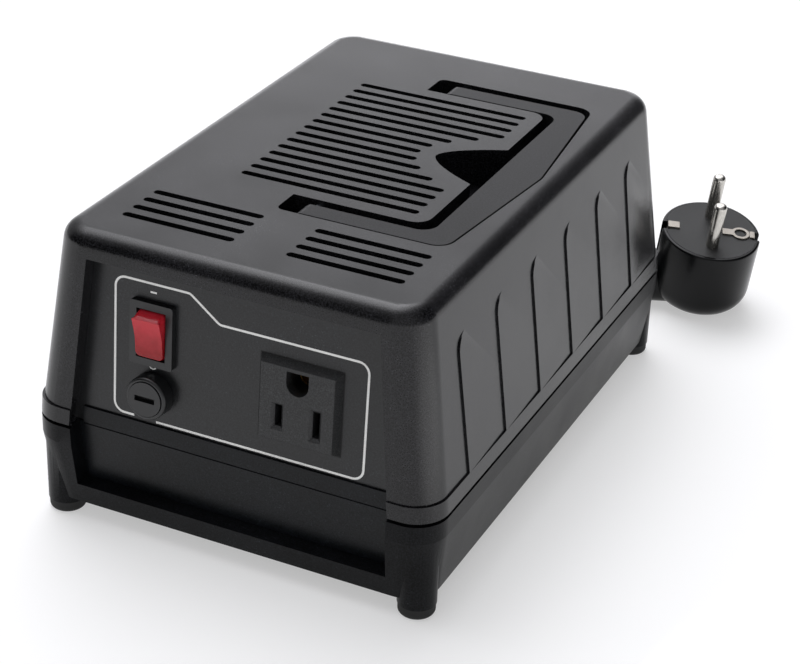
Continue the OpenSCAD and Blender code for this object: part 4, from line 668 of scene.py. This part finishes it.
def printed_line(shape, path, width, closed=False):
    """Thin strip along a path of (across, up) points on the front panel, in millimetres."""
    rows, count = [], len(path)
    for i, point in enumerate(path):
        before = path[(i - 1) % count] if closed or i else point
        after = path[(i + 1) % count] if closed or i < count - 1 else point
        along = (after - before).normalized()
        side = Vector((-along.y, along.x)) * width / 2
        left, right = point - side, point + side
        corners = ((left, INK_LOW), (right, INK_LOW), (right, INK_HIGH), (left, INK_HIGH))
        rows.append([shape.verts.new(ON_PANEL @ (Vector((*p, w)) * MM)) for p, w in corners])
    for a, b in zip(rows, rows[1:] + rows[:1] if closed else rows[1:]):
        for k in range(4):
            shape.faces.new((a[k], b[k], b[(k + 1) % 4], a[(k + 1) % 4]))
    if not closed:
        shape.faces.new(rows[0])
        shape.faces.new(rows[-1][::-1])


def panel_piece(name, shape, finish, slot):
    """Finished piece from strips that lie on the front panel."""
    bmesh.ops.recalc_face_normals(shape, faces=shape.faces)
    return finished(made(name, shape), finish, "converter", slot)


def geometry_tree(name, sockets):
    """Geometry node group with named inputs; returns the tree and its input node."""
    tree = bpy.data.node_groups.new(name, "GeometryNodeTree")
    tree.interface.new_socket("Geometry", in_out="INPUT", socket_type="NodeSocketGeometry")
    tree.interface.new_socket("Geometry", in_out="OUTPUT", socket_type="NodeSocketGeometry")
    for label, kind in sockets:
        tree.interface.new_socket(label, in_out="INPUT", socket_type=kind)
    return tree, add(tree, "NodeGroupInput")


def run_tree(thing, tree, values):
    """Sets the tree's inputs and turns its result into a plain mesh."""
    modifier = thing.modifiers.new(tree.name, "NODES")
    modifier.node_group = tree
    for item in tree.interface.items_tree:
        if item.item_type == "SOCKET" and item.in_out == "INPUT" and item.name in values:
            modifier[item.identifier] = values[item.name]
    return applied(thing, modifier)


def ribs(name, count, row, end, out, finish):
    """Rings on a tapering sleeve, in a row along one direction.

    The row holds, in millimetres, its start from the sleeve's end, its length, its first and last
    radius and the thickness of a ring.
    """
    begin, length, first, last, thick = row
    tree, given = geometry_tree(
        "sleeve_ribs",
        [
            ("Count", "NodeSocketInt"),
            ("Length", "NodeSocketFloat"),
            ("First radius", "NodeSocketFloat"),
            ("Last radius", "NodeSocketFloat"),
            ("Thickness", "NodeSocketFloat"),
            ("Material", "NodeSocketMaterial"),
        ],
    )
    asked = given.outputs
    tip = add(tree, "ShaderNodeCombineXYZ", {"Z": asked["Length"]})
    line = add(
        tree,
        "GeometryNodeMeshLine",
        {"Count": asked["Count"], "Offset": tip.outputs[0]},
        mode="END_POINTS",
        count_mode="TOTAL",
    )
    ring = add(tree, "GeometryNodeCurvePrimitiveCircle", {"Resolution": 32, "Radius": 1.0})
    share = add(
        tree,
        "ShaderNodeMath",
        {0: asked["Thickness"], 1: asked["First radius"]},
        operation="DIVIDE",
    )
    profile = add(
        tree, "GeometryNodeCurvePrimitiveCircle", {"Resolution": 8, "Radius": share.outputs[0]}
    )
    body = add(
        tree,
        "GeometryNodeCurveToMesh",
        {"Curve": ring.outputs["Curve"], "Profile Curve": profile.outputs["Curve"]},
    )
    index = add(tree, "GeometryNodeInputIndex")
    final = add(tree, "ShaderNodeMath", {0: asked["Count"], 1: 1.0}, operation="SUBTRACT")
    size = add(
        tree,
        "ShaderNodeMapRange",
        {
            "Value": index.outputs[0],
            "From Min": 0.0,
            "From Max": final.outputs[0],
            "To Min": asked["First radius"],
            "To Max": asked["Last radius"],
        },
    )
    placed = add(
        tree,
        "GeometryNodeInstanceOnPoints",
        {
            "Points": line.outputs["Mesh"],
            "Instance": body.outputs["Mesh"],
            "Scale": size.outputs["Result"],
        },
    )
    real = add(tree, "GeometryNodeRealizeInstances", {"Geometry": placed.outputs["Instances"]})
    smooth = add(tree, "GeometryNodeSetShadeSmooth", {"Geometry": real.outputs["Geometry"]})
    painted = add(
        tree,
        "GeometryNodeSetMaterial",
        {"Geometry": smooth.outputs["Geometry"], "Material": asked["Material"]},
    )
    add(tree, "NodeGroupOutput", {"Geometry": painted.outputs["Geometry"]})
    values = {
        "Count": count,
        "Length": length * MM,
        "First radius": first * MM,
        "Last radius": last * MM,
        "Thickness": thick * MM,
        "Material": FINISHES[finish],
    }
    thing = run_tree(link(name, bpy.data.meshes.new(name)), tree, values)
    turn = Vector((0, 0, 1)).rotation_difference(out).to_matrix().to_4x4()
    thing.data.transform(Matrix.Translation((end + begin * out) * MM) @ turn)
    return thing


def repeated(name, shape, spots, finish):
    """Copies of one small shape at several places, made by instances on points."""
    pattern = made(name + "_one", shape)
    tree, given = geometry_tree(
        name, [("Shape", "NodeSocketObject"), ("Material", "NodeSocketMaterial")]
    )
    source = add(tree, "GeometryNodeObjectInfo", {"Object": given.outputs["Shape"]})
    placed = add(
        tree,
        "GeometryNodeInstanceOnPoints",
        {"Points": given.outputs["Geometry"], "Instance": source.outputs["Geometry"]},
    )
    real = add(tree, "GeometryNodeRealizeInstances", {"Geometry": placed.outputs["Instances"]})
    painted = add(
        tree,
        "GeometryNodeSetMaterial",
        {"Geometry": real.outputs["Geometry"], "Material": given.outputs["Material"]},
    )
    add(tree, "NodeGroupOutput", {"Geometry": painted.outputs["Geometry"]})
    points = bpy.data.meshes.new(name)
    points.from_pydata([Vector(spot) for spot in spots], [], [])
    values = {"Shape": pattern, "Material": FINISHES[finish]}
    thing = run_tree(link(name, points), tree, values)
    bpy.data.objects.remove(pattern)
    return thing


def lathe(shape, profile, steps):
    """Turns an (r, z) profile about the Z axis, in metres; a point with r = 0 closes an end."""
    rows = []
    for r, z in profile:
        if r == 0:
            rows.append([shape.verts.new((0, 0, z))])
        else:
            angles = [2 * math.pi * k / steps for k in range(steps)]
            rows.append([shape.verts.new((r * math.cos(a), r * math.sin(a), z)) for a in angles])
    for a, b in zip(rows, rows[1:]):
        for k in range(steps):
            ring = [a[k % len(a)], a[(k + 1) % len(a)], b[(k + 1) % len(b)], b[k % len(b)]]
            corners = list(dict.fromkeys(ring))
            if len(corners) > 2:
                shape.faces.new(corners)
    bmesh.ops.recalc_face_normals(shape, faces=shape.faces)


# Route of the mains lead


def coil_point(angle):
    """Point of the coil: in on the floor, up where it turns, out on top."""
    inward = angle if angle < COIL_TURN else 2 * COIL_TURN - angle
    radius = COIL_R - COIL_PITCH * inward / 360
    climb = max(0.0, min(1.0, (angle - COIL_TURN) / 180 + 0.5))
    turn = math.radians(angle)
    return Vector((
        COIL_CENTRE[0] + radius * math.cos(turn),
        COIL_CENTRE[1] + radius * math.sin(turn),
        COIL_Z + COIL_PITCH * (1 - math.cos(math.pi * climb)) / 2,
    ))


def lead_curve(p, u, q, v, t):
    """Point of a curve from p in direction u to q in direction v, which sags in the middle."""
    way = (q - p).length
    a, b = way * u, way * v
    sag = Vector((0, 0, LEAD_SAG * (1 - math.cos(2 * math.pi * t)) / 2))
    return p + a * t + (3 * (q - p) - 2 * a - b) * t**2 + (2 * (p - q) + a + b) * t**3 - sag


def lead_route():
    """Points of the lead, in metres: gland to coil, round the coil, and on to the plug's boot."""
    turns = [coil_point(COIL_END * i / COIL_STEPS) for i in range(COIL_STEPS + 1)]
    right, back = Vector((1, 0, 0)), Vector((0, 1, 0))
    coil_in, coil_out = turns[0] - COIL_RUN * back, turns[-1] + COIL_RUN * right
    way = coil_in - GLAND_END
    first = [GLAND_END, GLAND_END + LEAD_STRAIGHT * GLAND_DIR]
    first += [GLAND_END + Vector((0, y * way.y, z * way.z)) for y, z in LEAD_FALL]
    first += [coil_in - LEAD_STRAIGHT * back, coil_in, turns[0]]
    start, end = coil_out + LEAD_STRAIGHT * right, BOOT_END + LEAD_STRAIGHT * BOOT_DIR
    shares = [i / LEAD_STEPS for i in range(LEAD_STEPS + 1)]
    bend = [lead_curve(start, right, end, -BOOT_DIR, share) for share in shares]
    last = [turns[-1], coil_out, *bend, BOOT_END]
    return [[Vector(p) * MM for p in part] for part in (first, turns, last)]


def smooth_route(points, parts):
    """Route with extra points on a smooth curve through the given ones."""
    result = []
    for i in range(len(points) - 1):
        p0, p1 = points[max(i - 1, 0)], points[i]
        p2, p3 = points[i + 1], points[min(i + 2, len(points) - 1)]
        for k in range(parts):
            t = k / parts
            square = (2 * p0 - 5 * p1 + 4 * p2 - p3) * t**2
            cube = (3 * p1 - p0 - 3 * p2 + p3) * t**3
            result.append(0.5 * (2 * p1 + (p2 - p0) * t + square + cube))
    return [*result, points[-1]]


# Operators


class CONVERTER_OT_stage(bpy.types.Operator):
    """Camera, pale floor and soft studio light"""

    bl_idname = "converter.stage"
    bl_label = "Stage"

    def execute(self, context):
        settings = context.scene.converter.stage
        scene = context.scene
        scene.view_settings.view_transform = "Standard"
        lens = bpy.data.cameras.new("camera")
        lens.lens, lens.sensor_width = settings.lens, SENSOR_MM
        lens.clip_start, lens.clip_end = 0.05, 20
        scene.camera = link("camera", lens)
        scene.camera.matrix_world = axes(
            CAMERA_RIGHT, CAMERA_UP, CAMERA_RIGHT.cross(CAMERA_UP), CAMERA_AT
        )
        self.add_table(settings)
        self.add_light(scene, settings)
        return {"FINISHED"}

    def add_table(self, settings):
        """Table that glows evenly, with a brighter pool that the front right corner reflects."""
        half = settings.floor / 2
        floor = bpy.data.meshes.new("floor")
        floor.from_pydata(
            [(-half, -half, 0), (half, -half, 0), (half, half, 0), (-half, half, 0)],
            [],
            [(0, 1, 2, 3)],
        )
        # Opal acrylic lit from below: pale, matte and even
        table = grained(
            "pale_light_table",
            linear("#c6c6c6"),
            0.9,
            400,
            0.001,
            variation=0.005,
            Emission_Color=linear("#ffffff"),
        )
        tree = table.node_tree
        place = add(tree, "ShaderNodeTexCoord").outputs["Object"]
        away = add(tree, "ShaderNodeVectorMath", {0: place, 1: POOL_AT}, operation="DISTANCE")
        glow = add(
            tree,
            "ShaderNodeMapRange",
            {
                "Value": away.outputs["Value"],
                "From Min": POOL_R,
                "From Max": POOL_FADE_R,
                "To Min": settings.floor_glow + settings.pool_glow,
                "To Max": settings.floor_glow,
            },
        )
        shader = tree.nodes["Principled BSDF"]
        tree.links.new(glow.outputs["Result"], shader.inputs["Emission Strength"])
        floor.materials.append(table)
        link("floor", floor)

    def add_light(self, scene, settings):
        """World of even light with a soft lobe for each of the lights, never below zero."""
        scene.world = bpy.data.worlds.new("studio")
        scene.world.use_nodes = True
        tree = scene.world.node_tree
        toward = add(tree, "ShaderNodeTexCoord").outputs["Generated"]
        total = settings.ambient
        for direction, sharp, strength in LIGHTS:
            facing = add(
                tree,
                "ShaderNodeVectorMath",
                {0: toward, 1: Vector(direction).normalized()},
                operation="DOT_PRODUCT",
            ).outputs["Value"]
            front = add(tree, "ShaderNodeMath", {0: facing, 1: 0.0}, operation="MAXIMUM").outputs[0]
            lobe = add(tree, "ShaderNodeMath", {0: front, 1: sharp}, operation="POWER").outputs[0]
            total = add(
                tree, "ShaderNodeMath", {0: lobe, 1: strength, 2: total}, operation="MULTIPLY_ADD"
            ).outputs[0]
        light = add(tree, "ShaderNodeMath", {0: total, 1: 0.0}, operation="MAXIMUM")
        background = tree.nodes["Background"]
        background.inputs["Color"].default_value = linear("#fbfbff")
        tree.links.new(light.outputs[0], background.inputs["Strength"])


class CONVERTER_OT_lead(bpy.types.Operator):
    """Mains lead from the gland through its coil to the plug, with the gland and the tie"""

    bl_idname = "converter.lead"
    bl_label = "Mains lead"

    def execute(self, context):
        settings = context.scene.converter.lead
        first, turns, last = lead_route()
        points = [*smooth_route(first, parts=4)[:-1], *turns, *last[1:]]
        curve = bpy.data.curves.new("mains_lead", "CURVE")
        curve.dimensions = "3D"
        curve.bevel_depth, curve.bevel_resolution = settings.diameter / 2, 4
        curve.use_fill_caps = True
        line = curve.splines.new("POLY")
        line.points.add(len(points) - 1)
        for spot, point in zip(line.points, points):
            spot.co = (*point, 1)
        line.use_smooth = True
        lead = finished(
            link("mains_lead", curve),
            "pvc",
            "converter",
            "cord_pvc",
            "cord_from_gland",
            "cord_coil",
            "cord_to_plug",
        )
        gland = dress("lead_gland", "cord_gland", "pvc", "converter", "cord_pvc", 0.3 * MM)
        sleeve = ribs("gland_ribs", settings.gland_ribs, GLAND_RIBS, GLAND_END, GLAND_DIR, "pvc")
        gland_ribs = finished(sleeve, None, "converter", "cord_pvc")
        tie = dress("lead_tie", "cord_tie", "strap", "converter", "tie_fabric", 0.25 * MM)
        bpy.ops.converter.plug()
        return {"FINISHED"}


class CONVERTER_OT_plug(bpy.types.Operator):
    """Angled mains plug: body, boot, pins and earth contacts"""

    bl_idname = "converter.plug"
    bl_label = "Plug"

    def execute(self, context):
        settings = context.scene.converter.lead
        dress("plug_shell", "plug_body", "plug", "converter", "cord_pvc", 0.4 * MM)
        boot = ribs("plug_boot_ribs", settings.boot_ribs, BOOT_RIBS, BOOT_END, -BOOT_DIR, "pvc")
        finished(boot, None, "converter", "cord_pvc")
        dress("plug_pin_pair", "plug_pins", "nickel", "converter", "nickel", 0)
        for name, node in (
            ("plug_clips", "plug_earth_clips"),
            ("plug_socket_plate", "plug_earth_socket"),
        ):
            dress(name, node, "dull_nickel", "converter", "nickel", 0.15 * MM)
        # The mould leaves the face between the pins matte: a thin disc, cut straight at the clips
        outline = []
        for k in range(FACE_STEPS):
            a = 2 * math.pi * k / FACE_STEPS
            x, y = FACE_R * math.cos(a), FACE_R * math.sin(a)
            outline.append((max(-FACE_CUT, min(FACE_CUT, x)) if abs(y) < FACE_CUT_HALF else x, y))
        shape = bmesh.new()
        top, bottom = (
            [shape.verts.new(ON_PLUG @ (Vector((x, y, PLUG_H + rise)) * MM)) for x, y in outline]
            for rise in (FACE_HIGH, FACE_LOW)
        )
        shape.faces.new(top)
        shape.faces.new(bottom[::-1])
        for k in range(FACE_STEPS):
            after = (k + 1) % FACE_STEPS
            shape.faces.new((bottom[k], bottom[after], top[after], top[k]))
        finished(made("plug_face_plate", shape), "plug_face", "converter", "cord_pvc")
        return {"FINISHED"}


class CONVERTER_OT_case(bpy.types.Operator):
    """Cover, lower case and feet"""

    bl_idname = "converter.case"
    bl_label = "Case"

    def execute(self, context):
        settings = context.scene.converter.case
        dress("cover_shell", "upper_cover", "abs", "converter", "black_abs", settings.edge)
        dress("lower_shell", "lower_case", "tray", "converter", "black_abs", settings.edge)
        for place in ("front_left", "front_right", "rear_left", "rear_right"):
            dress(f"rubber_foot_{place}", f"foot_{place}", "rubber", "converter", "rubber", 0)
        return {"FINISHED"}


class CONVERTER_OT_handle(bpy.types.Operator):
    """Fold-flat handle and its pivot pins"""

    bl_idname = "converter.handle"
    bl_label = "Handle"

    def execute(self, context):
        edge = context.scene.converter.case.handle_edge
        dress("fold_handle", "carry_handle", "handle", "handle", "black_abs", edge, segments=3)
        dress("pivot_pins", "handle_pins", "zinc", "converter", "steel", 0.2 * MM)
        return {"FINISHED"}


class CONVERTER_OT_panels(bpy.types.Operator):
    """Front and rear panels, lower plates and the print on the front"""

    bl_idname = "converter.panels"
    bl_label = "Panels"

    def execute(self, context):
        for name, node, finish in (
            ("face_panel", "front_panel", "panel"),
            ("back_panel", "rear_panel", "panel"),
            ("face_plate", "lower_front_plate", "plate"),
            ("back_plate", "lower_rear_plate", "plate"),
        ):
            dress(name, node, finish, "converter", "panel_abs", 0.15 * MM)
        shape = bmesh.new()
        width = context.scene.converter.case.print_width / MM
        printed_line(shape, rounded_path(PRINT_LINE, PRINT_RADII), width)
        printed_line(shape, [Vector(end) for end in BAR_ENDS], BAR_WIDTH)
        angles = [2 * math.pi * k / RING_STEPS for k in range(RING_STEPS)]
        ring = [Vector(RING_AT) + RING_R * Vector((math.cos(a), math.sin(a))) for a in angles]
        printed_line(shape, ring, RING_WIDTH, closed=True)
        panel_piece("panel_print", shape, "ink", "panel_abs")
        return {"FINISHED"}


class CONVERTER_OT_switch(bpy.types.Operator):
    """Rocker switch with its terminals and lamp"""

    bl_idname = "converter.switch"
    bl_label = "Switch"

    def execute(self, context):
        edge = context.scene.converter.fittings.edge
        dress(
            "switch_frame", "switch_housing", "nylon", "converter", "switch_black", edge,
            corner=BEZEL_CORNER_R * MM,
        )
        dress(
            "red_rocker", "switch_rocker", "rocker", "rocker", "rocker_red", 0.5 * MM,
            segments=4, angle=25, corner=ROCKER_CORNER_R * MM,
        )
        dress("switch_tabs", "switch_terminals", "brass", "converter", "brass", 0.1 * MM)
        dress("switch_neon", "switch_lamp", "glass", "converter", "lamp_glass", 0.2 * MM)
        return {"FINISHED"}


class CONVERTER_OT_outlet(bpy.types.Operator):
    """Outlet and its contacts"""

    bl_idname = "converter.outlet"
    bl_label = "Outlet"

    def execute(self, context):
        edge = context.scene.converter.fittings.edge
        dress("outlet_shell", "outlet_body", "outlet", "converter", "switch_black", edge)
        for pole in ("hot", "neutral", "earth"):
            dress(f"{pole}_spring", f"{pole}_contact", "brass", "converter", "brass", 0)
        # Painted shadow: a thin black strip on the panel round the outlet draws the gap between
        # them as a dark line
        shape = bmesh.new()
        reach = OUTLET_SIDE / 2 + SHADOW_STRIP_REACH
        signs = ((-1, -1), (1, -1), (1, 1), (-1, 1))
        square = [Vector(OUTLET_AT) + reach * Vector(sign) for sign in signs]
        printed_line(shape, square, SHADOW_STRIP_WIDTH, closed=True)
        panel_piece("outlet_gasket", shape, "rubber", "rubber")
        return {"FINISHED"}


class CONVERTER_OT_fuse(bpy.types.Operator):
    """Fuse holder, its cap and the fuse"""

    bl_idname = "converter.fuse"
    bl_label = "Fuse"

    def execute(self, context):
        edge = context.scene.converter.fittings.edge
        dress("fuse_barrel", "fuse_holder", "nylon", "converter", "switch_black", edge)
        dress("fuse_ring_nut", "fuse_nut", "nylon", "converter", "switch_black", edge)
        dress("fuse_tabs", "fuse_terminals", "brass", "converter", "brass", 0.1 * MM)
        dress("fuse_turn_cap", "fuse_cap", "nylon", "cap", "switch_black", edge)
        dress("fuse_tube", "fuse_glass", "glass", "fuse", "fuse_glass", 0)
        dress("fuse_caps", "fuse_ends", "nickel", "fuse", "nickel", 0.2 * MM)
        return {"FINISHED"}


class CONVERTER_OT_transformer(bpy.types.Operator):
    """Transformer on the floor of the lower case, and its wiring"""

    bl_idname = "converter.transformer"
    bl_label = "Transformer"

    def execute(self, context):
        for name, node, finish, slot, edge_mm in (
            ("e_stack", "core_e_laminations", "laminations", "silicon_steel", 0.2),
            ("i_stack", "core_i_laminations", "laminations", "silicon_steel", 0.2),
            ("winding_former", "bobbin", "bobbin", "bobbin_nylon", 0.2),
            ("copper_winding", "winding", "copper", "copper", 0.3),
            ("winding_tape", "insulation_tape", "tape", "tape", 0.1),
            ("heat_cutout", "thermal_cutout", "phenolic", "black_bakelite", 0.4),
            ("core_strap", "core_bracket", "zinc", "steel", 0.3),
        ):
            dress(name, node, finish, "converter", slot, edge_mm * MM)
        for node, colour in (
            ("wire_live", "brown"),
            ("wire_fuse_to_switch", "black"),
            ("wire_switch_to_winding", "black"),
            ("wire_outlet_hot", "black"),
            ("wire_neutral", "blue"),
            ("wire_earth", "green"),
            ("wire_outlet_neutral", "white"),
        ):
            finish, slot = "wire_" + colour, "wire_pvc_" + colour
            dress(node + "_insulated", node, finish, "converter", slot, 0, angle=50)
        return {"FINISHED"}


class CONVERTER_OT_screws(bpy.types.Operator):
    """Case screws and bracket screws"""

    bl_idname = "converter.screws"
    bl_label = "Screws"

    def execute(self, context):
        for name, node, head_down in (
            ("case_screw_set", "case_screws", True),
            ("bracket_screw_set", "bracket_screws", False),
        ):
            low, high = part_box(node)
            head, inset = SCREW_HEAD_H * MM, SCREW_HEAD_R * MM
            length = high.z - low.z - head
            turns = int(length / (SCREW_PITCH * MM))
            pitch = length / turns
            profile = [(r * MM, z * MM) for r, z in SCREW_HEAD]
            for k in range(turns):
                for r, part in ((SCREW_ROOT_R, 0.2), (SCREW_R, 0.5), (SCREW_ROOT_R, 0.8)):
                    profile.append((r * MM, (k + part) * pitch))
            profile += [(SCREW_TIP_R * MM, length), (0, length)]
            shape = bmesh.new()
            lathe(shape, profile, steps=20)
            shade_smooth(shape, angle=40)
            if not head_down:
                turn = Matrix.Rotation(math.pi, 3, "X")
                bmesh.ops.rotate(shape, verts=shape.verts, cent=(0, 0, 0), matrix=turn)
            seat = low.z + head if head_down else high.z - head
            spots = [
                (x, y, seat)
                for x in (low.x + inset, high.x - inset)
                for y in (low.y + inset, high.y - inset)
            ]
            finished(repeated(name, shape, spots, "zinc"), None, "converter", "steel", node)
        return {"FINISHED"}


PIECES = (
    CONVERTER_OT_stage, CONVERTER_OT_plug, CONVERTER_OT_lead, CONVERTER_OT_case,
    CONVERTER_OT_handle, CONVERTER_OT_panels, CONVERTER_OT_switch, CONVERTER_OT_outlet,
    CONVERTER_OT_fuse, CONVERTER_OT_transformer, CONVERTER_OT_screws,
)


class CONVERTER_PT_panel(bpy.types.Panel):
    """Pieces of the converter and their sizes and colours"""

    bl_idname = "CONVERTER_PT_panel"
    bl_label = "Converter"
    bl_space_type = "VIEW_3D"
    bl_region_type = "UI"
    bl_category = "Converter"

    def draw(self, context):
        for group in ("case", "fittings", "lead", "stage"):
            settings = getattr(context.scene.converter, group)
            box = self.layout.box()
            for name in settings.__annotations__:
                box.prop(settings, name)
        for piece in PIECES:
            self.layout.operator(piece.bl_idname)


CLASSES = (
    CaseSettings, FittingSettings, LeadSettings, StageSettings, ConverterSettings,
    *PIECES, CONVERTER_PT_panel,
)


def register():
    for item in CLASSES:
        bpy.utils.register_class(item)
    bpy.types.Scene.converter = PointerProperty(type=ConverterSettings)


def unregister():
    del bpy.types.Scene.converter
    for item in reversed(CLASSES):
        bpy.utils.unregister_class(item)


def main():
    register()
    make_finishes(bpy.context.scene.converter)
    bpy.ops.converter.stage()
    bpy.ops.converter.lead()
    bpy.ops.converter.case()
    bpy.ops.converter.handle()
    bpy.ops.converter.panels()
    bpy.ops.converter.switch()
    bpy.ops.converter.outlet()
    bpy.ops.converter.fuse()
    bpy.ops.converter.transformer()
    bpy.ops.converter.screws()


if __name__ == "__main__":
    main()
